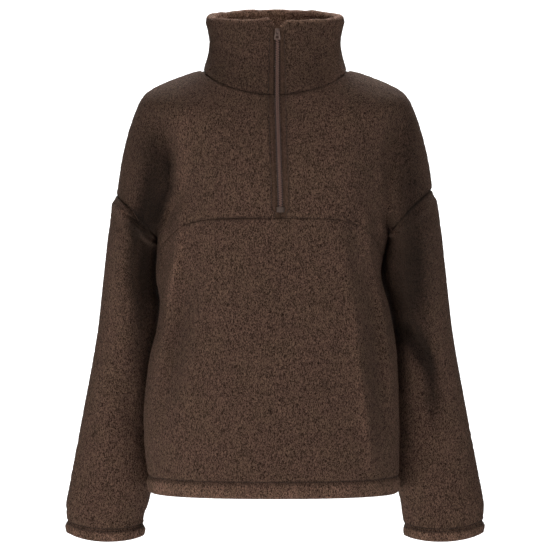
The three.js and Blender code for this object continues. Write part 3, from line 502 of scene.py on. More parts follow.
# %% [markdown]
# An upper piece has four curved edges, so its grid is relaxed: points are averaged with their neighbours
# and put back on the form, coarsely at first, then twice and three times as fine.

# %% Upper pieces
def onto_form(side, face, points):
    """Moves points onto the form: along Y, and round the curve of the outline where it is near."""
    x, y, z = side.sign * points[..., 0], np.abs(points[..., 1]), points[..., 2]
    away, inwards = outline_distance(x, z)
    full, radius = joined_depth(side, face, x, z), arm_round(side, z)
    angle = np.arctan2(y / np.maximum(full, 1), 1 - np.minimum(away / radius, 1))
    shift = radius * (1 - np.cos(angle)) - away
    move = ((away < radius) & (z > side.under_z) & (full > 30)) * np.clip(shift, -6, 6)
    x = x + inwards[..., 0] * move
    z = z + inwards[..., 1] * move
    limit = np.where(z > side.under_z, outline_x(z), torso_width(side, z))
    return body_points(side, face, np.minimum(x, limit - 0.02), z)


def upper_edges(side, face, k):
    """The four edges of an upper piece, k times as fine as its first grid."""
    bottom = level_row(side, face, YOKE_CENTRE, YOKE_SIDE, 18 * k)
    top = np.concatenate([neck_line(side, face, 8 * k), shoulder_line(side, 10 * k)[1:]])
    below = side_place(side, np.linspace(YOKE_SIDE, side.under_z, 2 * k, endpoint=False))
    outer = np.concatenate([below, armhole_line(side, face, 11 * k)])
    z = np.linspace(YOKE_CENTRE, top[0, 2], len(outer))
    centre = body_points(side, face, start_x(side, face, z), z)
    centre[0], centre[-1] = bottom[0], top[0]
    return bottom, top, centre, outer


def upper_grid(side, face):
    bottom, top, centre, outer = upper_edges(side, face, 1)
    v = np.linspace(0, 1, len(outer))[:, None, None]
    u = np.linspace(0, 1, len(bottom))[None, :, None]
    across = mix(centre[:, None], outer[:, None], u)
    along = mix(bottom[None], top[None], v)
    corners = mix(mix(bottom[0], bottom[-1], u), mix(top[0], top[-1], u), v)
    grid = across + along - corners
    for k, turns in ((1, 160), (2, 40), (6, 0)):
        if k > 1:
            factor = 2 if k == 2 else 3
            grid = smoother(smoother(grid, factor, 0), factor, 1)
            bottom, top, centre, outer = upper_edges(side, face, k)
        for _ in range(turns):
            grid[0], grid[-1], grid[:, 0], grid[:, -1] = bottom, top, centre, outer
            mean = (grid[:-2, 1:-1] + grid[2:, 1:-1] + grid[1:-1, :-2] + grid[1:-1, 2:]) / 4
            grid[1:-1, 1:-1] = onto_form(side, face, mean)
        if k == 6:
            ease_to_edges(grid, bottom, top, centre, outer)
    return grid


def ease_to_edges(grid, bottom, top, centre, outer, reach=8):
    """Sets the exact edges and lets the difference fade over the nearest rows and columns."""
    fade = (1 - np.arange(reach) / reach) ** 2
    turned = grid.swapaxes(0, 1)
    for view, new, at in ((grid, bottom, 0), (grid, top, -1), (turned, centre, 0), (turned, outer, -1)):
        off = new - view[at]
        for k, share in enumerate(fade):
            view[k if at == 0 else -1 - k] += off * share


print("edges of the finest upper grid", [len(e) for e in upper_edges(LEFT, "front", 6)])

# %% [markdown]
# A lower piece is a stack of levels from the bottom of the hem up to the yoke seam, which drops towards the
# sides. The left and right halves join in the middle.

# %% Lower pieces
def lower_grid(side, face, across=110):
    """Levels from the bottom of the hem up to the yoke seam."""
    ends = [(mix(HEM_BOTTOM, YOKE_CENTRE, v), mix(HEM_BOTTOM, YOKE_SIDE, v)) for v in np.linspace(0, 1, 40)]
    rows = [level_row(side, face, centre_z, side_z, across) for centre_z, side_z in ends]
    return smoother(np.array(rows), 5, 0)


def joined(right, left):
    return np.concatenate([right[:, :0:-1], left], axis=1)


print("points across a lower piece", len(level_row(LEFT, "front", -400, -400, 110)) * 2 - 1)

# %% [markdown]
# A sleeve is a stack of rings that turn from the slanted armhole to the level cuff. A plain tube would look
# like a pipe, so hollows and a small droop at the cuff are pressed into the rings. Hems and cuffs are the
# turned-up ends of the same pieces, as on the real garment.

# %% Sleeves
# Soft hollows in the sleeves: the height and the angle (0 outside, 90 in front) at their middle.
HOLLOW_NAMES = "z angle tall wide lean depth"
SLEEVE_HOLLOWS = dict(
    left=table(
        HOLLOW_NAMES,
        (-315, 132, 60, 30, 0, 13), (-392, 126, 15, 20, 0, 12), (-418, 104, 17, 14, 0, 12),
        (-455, 90, 24, 12, 0, 12), (-500, 90, 22, 12, 0, 7), (-420, 262, 34, 30, -0.4, 6),
    ),
    right=table(
        HOLLOW_NAMES,
        (-315, 132, 75, 30, 0, 15), (-380, 70, 50, 26, 0.25, 4), (-500, 112, 44, 28, -0.3, 5),
        (-430, 258, 34, 30, 0.4, 6),
    ),
)


def sleeve_points(side, angle, level, slope):
    """A ring round the sleeve on a slanted plane: angle 0 is outside and a quarter turn in front."""
    z = np.full(np.shape(angle), float(level))
    cos, sin = np.cos(angle), np.sin(angle)
    centre = (outline_x(level) + arm_inner(side, level)) / 2
    for _ in range(12):
        radius = arm_round(side, z)
        middle = outline_x(z) - radius
        x = middle + np.where(cos > 0, radius, middle - arm_inner(side, z)) * cos
        z = level + slope * (x - centre)
    sunk = np.zeros(np.shape(angle))
    turned = np.degrees(angle)
    hollows = SLEEVE_HOLLOWS[side.name]
    for hz, ha, tall, wide, lean, depth in zip(*(hollows[k] for k in HOLLOW_NAMES.split())):
        up = z - hz
        sunk += depth * np.exp(-((up / tall) ** 2) - ((turned - ha - lean * up) / wide) ** 2)
    plain = np.maximum(arm_depth(side, x, z), 0) * edge_share(side, z, outline_distance(x, z)[0])
    above = np.where(angle < np.pi, upper_depth(side, "front", x, z), upper_depth(side, "back", x, z))
    depth = np.where(z > side.under_z, above, plain)
    out = np.where(angle < np.pi, -1, 1)
    behind = clamp01((turned - TUCK_ANGLES[0]) / 34) * clamp01((TUCK_ANGLES[1] - turned) / 44)
    x = x - TUCK * behind * clamp01((side.under_z - z) / side.tuck_rise) * clamp01((z + 400) / 50)
    towards_cuff = clamp01((-500 - z) / 180) ** 2
    droop = towards_cuff * (CUFF_TILT * cos + CUFF_DROOP * np.cos(2 * angle))
    y = arm_middle(z) + out * (depth - sunk * np.abs(sin))
    return np.stack([side.sign * (x - sunk * cos), y, z + droop], axis=-1)


def sleeve_grid(side, around=82, levels=58):
    """Rings from the cuff's bottom up to the armhole, closed on themselves."""
    front, back = armhole_line(side, "front", around)[::-1], armhole_line(side, "back", around)
    armhole = np.concatenate([front[:-1], back[:-1]])

    def ring(level, slope):
        turns = [np.pi * (k + np.linspace(0, 1, 360)) for k in (0, 1)]
        return np.concatenate([evenly(sleeve_points(side, t, level, slope), around)[:-1] for t in turns])

    level = (side.under_z + side.high_z) / 2
    slope = (side.high_z - side.under_z) / (float(outline_x(side.high_z)) - side.under_x)
    off = armhole - ring(level, slope)
    rows = []
    for v in np.linspace(0, 1, levels):
        row = ring(mix(level, CUFF_BOTTOM, v**1.05), slope * max(1 - v * 2.55, 0) ** 1.5)
        rows.append(row + off * max(1 - v * 13, 0) ** 2)
    return smoother(np.array(rows)[::-1], 5, 0)


elbow = sleeve_points(LEFT, np.linspace(0, 2 * np.pi, 200), -400, 0)
print("girth of a sleeve at the elbow", lengths_along(elbow)[-1].round(), "mm")

# %% [markdown]
# All the flat pieces of the cut, worked out once as grids of points. The collar and the cloth come later
# from the same grids.

# %% Grids
pieces = {}
for side in (LEFT, RIGHT):
    pieces["upper_front_" + side.name] = upper_grid(side, "front")
    pieces["sleeve_" + side.name] = sleeve_grid(side)
pieces["upper_back"] = joined(upper_grid(RIGHT, "back"), upper_grid(LEFT, "back"))
for face in ("front", "back"):
    pieces["lower_" + face] = joined(lower_grid(RIGHT, face), lower_grid(LEFT, face))
for name, grid in pieces.items():
    print(name, grid.shape[:2])

# %% [markdown]
# The collar stands on the neck seam, bends over at the rim and goes down inside as its second layer. It
# opens at the front with a small notch over the zip, which the rolled cloth makes on the real garment.

# %% Collar
# The collar's half width and half depth from the neck seam (0) to the rim (1).
COLLAR = table(
    "up width front back",
    (0, 107, 88, 76), (0.25, 101, 84, 74), (0.5, 98.5, 80, 74), (0.72, 101, 80, 76),
    (0.86, 103, 80, 77), (1, 99, 76, 75),
)


def collar_ring(angle, up):
    """The collar's own form: angle 0 is in front, up runs from the neck seam (0) to the rim (1)."""
    forward = np.cos(angle)
    depth = np.where(forward > 0, column(COLLAR, "front", up, "up"), column(COLLAR, "back", up, "up"))
    x = column(COLLAR, "width", up, "up") * np.sin(angle)
    notch = NOTCH_DEPTH * clamp01(1 - np.abs(x - zip_x(RIM_FRONT)) / NOTCH_HALF_WIDTH) * (forward > 0)
    rim = mix(RIM_FRONT, RIM_BACK, (1 - forward) / 2) - notch
    return np.stack([x, -depth * forward, mix(neck_z(forward), rim, up)], axis=-1)


def collar_row(seam, up):
    """A row above the neck seam, which eases from the seam's form into the collar's own."""
    base_depth = np.where(seam[:, 1] < 0, COLLAR["front"][0], COLLAR["back"][0])
    angle = np.arctan2(seam[:, 0] / NECK_HALF_WIDTH, -seam[:, 1] / base_depth)
    row = collar_ring(angle, up) + (seam - collar_ring(angle, 0)) * (1 - up) ** 4
    row[0, 0] = zip_x(row[0, 2]) + ZIP_EDGE
    row[-1, 0] = zip_x(row[-1, 2]) - ZIP_EDGE
    return row


def half_neck(side, count):
    return np.concatenate([neck_line(side, "front", count), neck_line(side, "back", count)[::-1][1:]])


neck_seam = np.concatenate([half_neck(LEFT, 80), half_neck(RIGHT, 80)[::-1][1:]])
pieces["collar"] = np.array([collar_row(neck_seam, up) for up in np.linspace(0, 1, 61)])
print("collar", pieces["collar"].shape[:2])

# %% [markdown]
# The pile's larger clumps are smooth noise worked out here, so they are the same on each run and stay in the
# mesh. Distances along the grid tell how far each point is from a seam.

# %% Noise and distances
def normals_of(grid, closed, facing):
    if closed:
        across = np.roll(grid, -1, 1) - np.roll(grid, 1, 1)
    else:
        across = np.gradient(grid, axis=1)
    up = np.gradient(grid, axis=0)
    n = np.cross(across, up) * facing
    return n / np.maximum(np.linalg.norm(n, axis=-1, keepdims=True), 1e-9)


def noise3(p, size, seed):
    """Smooth noise in space from 0 to 1, with features of about the given size."""
    q = p / size
    cell = np.floor(q).astype(np.int64)
    f = q - cell
    f = f * f * (3 - 2 * f)
    total = np.zeros(p.shape[:-1])
    for corner in range(8):
        o = np.array([corner & 1, corner >> 1 & 1, corner >> 2 & 1])
        c = cell + o
        h = (c[..., 0] * 73856093) ^ (c[..., 1] * 19349663) ^ (c[..., 2] * 83492791) ^ (seed * 2654435761)
        h = (h ^ (h >> 13)) * 1274126177 & 0x7FFFFFFF
        weight = np.prod(np.where(o == 1, f, 1 - f), axis=-1)
        total += weight * ((h ^ (h >> 16)) & 0xFFFF) / 65535
    return total


def edge_distance(grid, closed):
    """How far each point is from each of the grid's borders, along the grid."""
    rows = np.linalg.norm(np.diff(grid, axis=0), axis=-1)
    up = np.concatenate([np.zeros((1, grid.shape[1])), np.cumsum(rows, axis=0)])
    distance = {"first": up, "last": up[-1] - up}
    if not closed:
        cols = np.linalg.norm(np.diff(grid, axis=1), axis=-1)
        along = np.concatenate([np.zeros((grid.shape[0], 1)), np.cumsum(cols, axis=1)], axis=1)
        distance["start"], distance["end"] = along, along[:, -1:] - along
    return distance


def pile_relief(p):
    """Clumps of curled pile: soft knolls parted by shallow clefts, longer down the cloth than across it."""
    stretch = p * np.array([1, 1, 0.72])
    bend = np.stack([noise3(stretch, 9, SEED + k) for k in range(3)], axis=-1) - 0.5
    q = stretch + bend * 7
    fine = np.abs(noise3(q, 5.2, SEED + 11) - 0.5) * 2
    broad = noise3(p, 24, SEED + 12)
    return 0.8 * np.minimum(fine * 2.4, 1) + 0.25 * (broad - 0.5)


print("relief at one place", pile_relief(np.zeros((1, 3))).round(2), "mm")

# %% [markdown]
# Turning a grid into cloth. The outer face carries the pile. The inner face is the same grid at a coarser
# spacing, moved inwards, and the two are sewn together along their borders into one closed shell.

# %% Closed shells
def grid_faces(index, closed, flip):
    a, b = index[:-1], index[1:]
    if closed:
        quads = np.stack([a, np.roll(a, -1, 1), np.roll(b, -1, 1), b], axis=-1)
    else:
        quads = np.stack([a[:, :-1], a[:, 1:], b[:, 1:], b[:, :-1]], axis=-1)
    quads = quads.reshape(-1, 4)
    return quads[:, ::-1] if flip else quads


def sewn(outer_ids, inner_ids, step, flip):
    """Faces between a fine border and a coarse one; step is the number of fine edges to a coarse one."""
    faces = []
    n = len(inner_ids)
    for k in range(n - 1):
        for t in range(step):
            faces.append((outer_ids[k * step + t], outer_ids[k * step + t + 1], inner_ids[k]))
        faces.append((outer_ids[(k + 1) * step], inner_ids[k + 1], inner_ids[k]))
    return [f[::-1] for f in faces] if flip else faces


def smooth_object(name, places, faces):
    mesh = bpy.data.meshes.new(name)
    mesh.from_pydata(places.tolist(), [], faces)
    mesh.update()
    mesh.shade_smooth()
    return put(name, mesh)


def cloth_mesh(name, outer, inner, closed, facing, step):
    """One closed mesh from an outer grid and an inner grid that is step times coarser."""
    rows, cols = outer.shape[:2]
    r2, c2 = inner.shape[:2]
    places = np.concatenate([outer.reshape(-1, 3), inner.reshape(-1, 3)]) * MM
    out_id = np.arange(rows * cols).reshape(rows, cols)
    in_id = rows * cols + np.arange(r2 * c2).reshape(r2, c2)
    quads = [grid_faces(out_id, closed, facing < 0), grid_faces(in_id, closed, facing > 0)]
    borders = [(out_id[0], in_id[0], 1), (out_id[-1], in_id[-1], -1)]
    if closed:
        borders = [([*fine, fine[0]], [*coarse, coarse[0]], way) for fine, coarse, way in borders]
    else:
        borders += [(out_id[:, 0], in_id[:, 0], -1), (out_id[:, -1], in_id[:, -1], 1)]
    tris = [f for fine, coarse, way in borders for f in sewn(fine, coarse, step, facing * way > 0)]
    faces = [tuple(map(int, q)) for part in quads for q in part] + [tuple(map(int, t)) for t in tris]
    return smooth_object(name, places, faces)


outside = {}  # the outer face, normals and edge distances of each piece, for the stitches
print("a coarse border of 3 points takes", len(sewn(range(5), range(3), 2, False)), "faces")

# %% [markdown]
# The cloth rolls down into each seam, and beside the zip it is pressed flat and stitched through. Both are
# sums over the distance from the edge, which is cheaper than sculpting and even along the whole seam.

# %% Seam helpers
def seam_dip(distance, radius=1.9):
    """The cloth rolls down into a seam."""
    t = clamp01(1 - distance / radius)
    return radius * (1 - np.sqrt(np.maximum(1 - t * t, 0)))


def bell(distance, width):
    return np.exp(-((distance / width) ** 2))


def mark(obj, name, values):
    """A value for each point of the outer face, for the material; 0 elsewhere."""
    layer = obj.data.attributes.new(name, "FLOAT", "POINT")
    full = np.zeros(len(obj.data.vertices), dtype=np.float32)
    full[: values.size] = values.ravel()
    layer.data.foreach_set("value", full)


def beside_zip(d):
    """Pressed flat up to a stitched line: how deep it lies, the painted shade along the stitching, and how flat
    the cloth is.
    """
    dip = 0.9 * clamp01((ZIP_STITCH + 0.4 - d) / 2) + 0.9 * bell(d - ZIP_STITCH, 1.6)
    return dip, 0.85 * bell(d - ZIP_STITCH, 1.3), clamp01((ZIP_STITCH + 0.2 - d) / 1.5)


print("seam depth at 0, 1 and 2 mm", seam_dip(np.arange(3)).round(2))

# %% [markdown]
# In deep creases and beside the armpits the lamps leave too little shade, and on some ridges too little light.
# So such places get painted shade and painted light along lines set after the photo.

# %% Shades
# Painted shade and light in front: lines as above, over 0 for painted shade, under 0 for painted light.
PAINTED_LIGHT_AND_SHADE_LINES = table(
    FOLD_NAMES,
    (-176, -84, -178, -206, 28, 1.15), (-134, -84, -138, -220, 12, -0.5), (-156, -120, -154, -186, 8, 0.7),
    (-156, -180, -176, -236, 8, 0.8), (-176, -226, -182, -266, 8, 0.6), (-184, -180, -199, -266, 20, 1.2),
    (-196, -246, -196, -366, 25, 1.25), (-202, -346, -204, -456, 14, 0.5), (-148, -236, -160, -352, 12, -0.4),
    (192, -50, 194, -206, 26, 0.95), (200, -186, 207, -420, 32, 1.45), (132, -80, 131, -216, 22, 0.4),
    (108, -206, 110, -300, 16, 0.35), (153, -286, 153, -350, 9, -0.4), (178, -386, 214, -410, 14, 1.3),
    (212, -404, 233, -452, 13, 1.4), (232, -444, 239, -520, 15, 1.1), (-126, -320, -160, -500, 15, 0.42),
    (138, -280, 152, -560, 19, 0.4), (110, -350, 137, -590, 4.5, -0.35), (-131, -250, -157, -344, 5, -0.35),
    (-212, -226, -180, -268, 10, 0.85),
)
print("shades", len(PAINTED_LIGHT_AND_SHADE_LINES["x1"]))

# %% [markdown]
# For each point of a piece a few values are worked out together: how far its face stands out, how thick the
# wall is, how calm the pile lies, and the marks for the material, which are painted shade and painted light.
# The yoke seam is deep only beside the zip and nearly lost in the pile at the sides, and so is its painted
# shade.

# %% Seams pressed in
def skin_of(grid):
    # The fourth value is painted shade (over 0) and painted light (under 0), which scale the fleece's colour.
    start = dict(out=-PILE, wall=CLOTH, calm=1.0, painted_light_and_shade=0.0, pressed=0.0)
    return SimpleNamespace(**{name: np.full(grid.shape[:2], value) for name, value in start.items()})


def press_seams(skin, name, grid, distance, free, zip_edge):
    """The cloth rolls down into each seam and is pressed flat along the zip."""
    lower = name.startswith("lower")
    for edge, d in distance.items():
        if edge in free:
            continue
        yoke = edge == ("last" if lower else "first") and not name.startswith("sleeve")
        dip = 0.3 if lower and edge in ("start", "end") else 1
        if yoke:
            dip = 0.3 + 0.7 * bell(grid[..., 0] - YOKE_DEEPEST, 46)
        skin.out -= dip * (seam_dip(d) + 1.2 * bell(d, 6))
        skin.calm *= 1 - 0.5 * bell(d, 3)
        # Painted shade along each seam. On the yoke seam it follows the seam's depth.
        seam_shade = (0.35 + 0.5 * noise3(grid, 30, SEED + 21)) * (dip if yoke else 1)
        skin.painted_light_and_shade = np.maximum(skin.painted_light_and_shade, seam_shade * bell(d, 3.4))
        if edge == zip_edge:
            # Painted shade along the zip's stitching.
            zip_dip, zip_stitch_shade, skin.pressed = beside_zip(d)
            skin.out -= zip_dip
            skin.painted_light_and_shade = np.maximum(skin.painted_light_and_shade, zip_stitch_shade)


print("values for each point", list(vars(skin_of(elbow[None]))))

# %% [markdown]
# Hem and cuffs are folded up and stitched through. The double cloth puffs out above its stitching, unevenly
# along the edge, and rounds over at the lip. Below the stitching the band gets painted light in patches, and
# each stitched row painted shade.

# %% Turned-up ends
# A turned-up edge from its bottom to above its stitching: how far it puffs out, and its wall.
TURNED_EDGE = table("up out wall", (0, 0, DOUBLE), (0.14, 0.5, DOUBLE), (0.55, 1.9, DOUBLE),
                    (0.8, 1.2, DOUBLE), (1, -1.2, DOUBLE - 1.4), (1.16, 0, CLOTH))


def turn_up(skin, grid, from_end, height, rows):
    """Doubles the cloth up to the given height; rows are the stitched rows, measured from there."""
    up = from_end / height
    puff = column(TURNED_EDGE, "out", np.minimum(up, 1.16), "up") * (up < 1.16)
    lip = 1 - np.sqrt(np.maximum(1 - clamp01(1 - up / 0.16) ** 2, 0))
    uneven = noise3(grid * np.array([1, 1, 0.2]), 13, SEED + 31) - 0.5
    skin.out += puff * (0.85 + 0.9 * uneven) - lip * (DOUBLE / 2 - 0.4)
    skin.wall = column(TURNED_EDGE, "wall", np.minimum(up, 1.16), "up") - lip * (DOUBLE - 0.9)
    for row in rows:
        away = from_end - height - row
        skin.out -= 0.8 * bell(away, 1.9)
        # Painted shade along each stitched row.
        stitch_shade = (0.5 + 0.9 * noise3(grid, 17, SEED + 22)) * bell(away, 1.25)
        skin.painted_light_and_shade = np.maximum(skin.painted_light_and_shade, stitch_shade)
        skin.calm *= 1 - 0.5 * bell(away, 2.5)
    # Painted light in patches over the turned-up band below its stitching.
    painted_band_light = 0.1 + 1.2 * noise3(grid, 20, SEED + 23)
    skin.painted_light_and_shade -= painted_band_light * clamp01((0.86 - up) / 0.12) * (1 - skin.painted_light_and_shade)
    return up


print("hem", HEM_STITCH - HEM_BOTTOM, "mm high, cuff", CUFF_STITCH - CUFF_BOTTOM, "mm")

# %% [markdown]
# Now each cut piece is dressed: seams, turned-up end, underarm, pile, shade. One function serves all seven
# pieces, so they look like one cloth.

# %% Cut pieces
def make_cloth(name, grid, facing, closed=False, turned=None, free=(), zip_edge=None, rows=(0,), step=2):
    """Dresses the grid of one piece; free edges have no seam."""
    normals = normals_of(grid, closed, facing)
    distance = edge_distance(grid, closed)
    skin = skin_of(grid)
    press_seams(skin, name, grid, distance, free, zip_edge)
    if turned:
        up = turn_up(skin, grid, distance["first"], turned, rows)
    for underarm in (pieces["lower_front"][-1, 0], pieces["lower_front"][-1, -1]):
        near = bell(np.linalg.norm(grid - underarm, axis=-1), UNDERARM_REACH)
        skin.out = mix(skin.out, 0.4, near)
        skin.calm *= 1 - near
    skin.out += pile_relief(grid) * skin.calm * (1 - 0.8 * skin.pressed)
    outer = grid + normals * skin.out[..., None]
    base = grid - normals * (PILE + skin.wall)[..., None]
    if turned:
        base = np.where((up < 0.3)[..., None], outer - normals * skin.wall[..., None], base)
    # Painted shade and painted light along the lines, on faces that turn to the front.
    if "back" not in name:
        lines = np.clip(along_lines(PAINTED_LIGHT_AND_SHADE_LINES, grid[..., 0], grid[..., 2]), -0.6, 1.35)
        skin.painted_light_and_shade += lines * clamp01(-2 * normals[..., 1])
    obj = cloth_mesh(name + "_cloth", outer, base[::step, ::step], closed, facing, step)
    outside[name] = (outer, normals, distance)
    mark(obj, "painted_light_and_shade", skin.painted_light_and_shade)
    mark(obj, "pressed", skin.pressed)
    return obj


HEM = dict(turned=HEM_STITCH - HEM_BOTTOM, free=("first",))
CUFF = dict(turned=CUFF_STITCH - CUFF_BOTTOM, free=("first",), closed=True, rows=(-3.6, 0.6))
PLANS = dict(
    upper_front_left=dict(facing=1, zip_edge="start"),
    upper_front_right=dict(facing=-1, zip_edge="start"),
    upper_back=dict(facing=-1),
    lower_front=dict(facing=1, **HEM),
    lower_back=dict(facing=-1, **HEM),
    sleeve_left=dict(facing=-1, **CUFF),
    sleeve_right=dict(facing=1, **CUFF),
)
cloth = {}
for name, plan in PLANS.items():
    cloth[name] = make_cloth(name, pieces[name], **plan)
    print(name, len(cloth[name].data.polygons), "faces")


# %% [markdown]
# The collar is cut double and folded over at the rim, where the trapped pile makes a fat, uneven roll. Its
# outer face gets painted shade, the roll and the upper lining get painted light, and the face towards +X gets
# more painted light.

# %% Double collar
def make_collar():
    """The collar is double: its outer and inner face meet in a full, uneven roll at the rim."""
    grid = pieces["collar"]
    normals = normals_of(grid, False, 1)
    normals[:, [0, -1], 0] = 0
    distance = edge_distance(grid, False)
    out, painted_light_and_shade, pressed = (np.full(grid.shape[:2], v) for v in (-PILE, 0.0, 0.0))
    out -= seam_dip(distance["first"]) + 1.0 * bell(distance["first"], 5)
    # Painted shade along the neck seam.
    painted_light_and_shade = np.maximum(painted_light_and_shade, bell(distance["first"], 2.4))
    for edge in ("start", "end"):
        d = distance[edge]
        inside = clamp01(distance["last"] / 14)
        zip_dip, zip_stitch_shade, zip_flat = beside_zip(d)
        out -= seam_dip(d) + zip_dip * inside
        # Painted shade along the zip edges and the zip's stitching.
        painted_light_and_shade = np.maximum(painted_light_and_shade, np.maximum(bell(d, 1.5), zip_stitch_shade * inside))
        pressed = np.maximum(pressed, zip_flat * inside)
    down = distance["last"]
    roll = RIM_ROLL / 2
    full = clamp01(1 - down / 34)
    thick = mix(6.2, RIM_ROLL, full * full * (3 - 2 * full))
    uneven = (noise3(grid, 16, SEED + 41) - 0.5) * 2.2 * clamp01(1 - down / 20)
    arc = np.sqrt(np.maximum(1 - clamp01(1 - down / roll) ** 2, 0))
    middle = out - thick / 2 + 3.2 * full * full
    outer = grid + normals * (middle + arc * thick / 2 + uneven * arc)[..., None]
    inner = grid + normals * (middle - arc * thick / 2)[..., None]
    outer += normals * (pile_relief(outer) * (1 - 0.8 * pressed))[..., None]
    inner -= normals * (pile_relief(inner) * clamp01(distance["first"] / 12))[..., None]
    # Painted shade over the whole outer face, painted light in patches on the rolled rim, and painted light
    # towards +X apart from the back.
    painted_light_and_shade = np.maximum(painted_light_and_shade, 0.36)
    painted_light_and_shade -= 3.6 * clamp01(1.3 - down / 6) * (0.5 + 0.8 * noise3(grid, 6, SEED + 43))
    painted_light_and_shade -= 0.5 * clamp01((grid[..., 0] - 66) / 20) * (grid[..., 1] < 30)
    lift = (noise3(grid, 12, SEED + 42) - 0.4) * 2.4 * clamp01(1 - down / 8)
    left_of_notch = (grid[..., 1] < 0) * (grid[..., 0] < 3.5) * bell(grid[..., 0] + 12, 15)
    lift += 5 * left_of_notch * clamp01(1 - down / 40) ** 2
    outer[..., 2] += lift
    inner[..., 2] += lift
    obj = cloth_mesh("collar_cloth", outer, inner, False, 1, 1)
    outside["collar"] = (outer, normals, distance)
    # Painted light on the lining's upper part.
    painted_lining_light = -3.4 * clamp01(1.2 - down / 40)
    mark(obj, "painted_light_and_shade", np.concatenate([painted_light_and_shade.ravel(), painted_lining_light.ravel()]))
    mark(obj, "pressed", pressed)
    return obj


cloth["collar"] = make_collar()
print("collar", len(cloth["collar"].data.polygons), "faces")

# %% [markdown]
# The zip is two rows of nylon coil on sewn tapes. Coil, stitches and tack are all thin tubes bent along a path:
# real geometry, which catches the light, where a bump map would stay flat.

# %% Tubes and coil
def tube(path, radius, sides):
    """Points and faces of a round tube along a path."""
    along = np.gradient(path, axis=0)
    along /= np.linalg.norm(along, axis=1, keepdims=True)
    ref = np.where(np.abs(along[:, 1:2]) > 0.9, [[1.0, 0, 0]], [[0, 1.0, 0]])
    a = np.cross(along, ref)
    a /= np.linalg.norm(a, axis=1, keepdims=True)
    b = np.cross(along, a)
    turn = np.linspace(0, 2 * np.pi, sides, endpoint=False)
    ring = a[:, None] * np.cos(turn)[None, :, None] + b[:, None] * np.sin(turn)[None, :, None]
    places = (path[:, None] + ring * np.broadcast_to(radius, len(path))[:, None, None]).reshape(-1, 3)
    ids = np.arange(len(path) * sides).reshape(len(path), sides)
    nxt = np.roll(ids, -1, 1)
    quads = np.stack([ids[:-1], nxt[:-1], nxt[1:], ids[1:]], axis=-1).reshape(-1, 4)
    ends = [ids[0][::-1], ids[-1]]
    return places, [tuple(map(int, face)) for face in [*quads, *ends]]


def tubes_object(name, paths, radius, sides, material):
    places, faces, count = [], [], 0
    for path in paths:
        one, its_faces = tube(path, radius, sides)
        places.append(one)
        faces += [tuple(i + count for i in f) for f in its_faces]
        count += len(one)
    obj = smooth_object(name, np.concatenate(places) * MM, faces)
    obj.data.materials.append(material)
    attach(obj, "garment")
    return obj


def zip_surface(z):
    """The line of the zip on the front's own surface."""
    below = body_points(LEFT, "front", zip_x(z), np.minimum(z, NECK_FRONT))
    up = np.maximum(z - NECK_FRONT, 0) / (RIM_FRONT - NOTCH_DEPTH - NECK_FRONT)
    edge = pieces["collar"][:, 0, :]
    y_above = np.interp(up, np.linspace(0, 1, len(edge)), edge[:, 1])
    y = np.where(z < NECK_FRONT, below[:, 1], y_above)
    return np.stack([zip_x(z), y, z], axis=-1)


def zip_outwards(z):
    rise = zip_surface(z + 3) - zip_surface(z - 3)
    rise[:, 0] = 0
    rise /= np.linalg.norm(rise, axis=1, keepdims=True)
    return np.cross([1.0, 0, 0], rise)


COIL_PITCH = 3.4


def coil(sign):
    turns = int((ZIP_TOP - ZIP_BOTTOM) / COIL_PITCH)
    t = np.linspace(0, 1, turns * 8 + 1)
    z = mix(ZIP_BOTTOM, ZIP_TOP, t)
    turn = t * turns * 2 * np.pi + (0 if sign > 0 else np.pi)
    out = zip_outwards(z)
    path = zip_surface(z) - out * (2.6 - 1.05 * np.sin(turn))[:, None]
    path[:, 0] += 0.3 + sign * (0.85 + 1.35 * np.cos(turn))
    return path


print("coil turns", int((ZIP_TOP - ZIP_BOTTOM) / COIL_PITCH))

# %% [markdown]
# Topstitching holds the zip, the hem and the cuffs, which have two rows. It follows each piece's own outer
# face at a set distance from the edge, and it is sewn short and a little sunk, as in deep pile.

# %% Stitches and tack
def line_at(name, edge, away):
    """The line on a piece's outer face at a distance from one of its edges."""
    outer, normals, distance = outside[name]
    d = distance[edge]
    if edge in ("start", "end"):
        outer, normals, d = outer.swapaxes(0, 1), normals.swapaxes(0, 1), d.T
    if edge in ("last", "end"):
        outer, normals, d = outer[::-1], normals[::-1], d[::-1]
    i = np.minimum((d < away).sum(0), len(d) - 1)
    k = np.arange(d.shape[1])
    t = clamp01((away - d[i - 1, k]) / np.maximum(d[i, k] - d[i - 1, k], 1e-6))[:, None]
    return mix(outer[i - 1, k], outer[i, k], t), normals[i, k]


def stitches(line, normals, length=2.5, pitch=3.6, lift=0.35):
    """Short raised stitches along a line."""
    at = lengths_along(line)
    bow = (lift * np.array([-1.6, 1, 1, -1.6]))[:, None]
    made = []
    for start in np.arange(0.6, at[-1] - length, pitch):
        s = start + length * np.linspace(0, 1, 4)
        made.append(points_at(line, at, s) + points_at(normals, at, s) * bow)
    return made


sewn_rows = []
for name in ("upper_front_left", "upper_front_right"):
    sewn_rows += stitches(*line_at(name, "start", ZIP_STITCH))
for edge in ("start", "end"):
    line, normals = line_at("collar", edge, ZIP_STITCH)
    sewn_rows += stitches(line[:48], normals[:48])
for name in ("lower_front", "lower_back"):
    sewn_rows += stitches(*line_at(name, "first", HEM["turned"]))
for name in ("sleeve_left", "sleeve_right"):
    for row in CUFF["rows"]:
        sewn_rows += stitches(*line_at(name, "first", CUFF["turned"] + row))
print("stitches", len(sewn_rows))


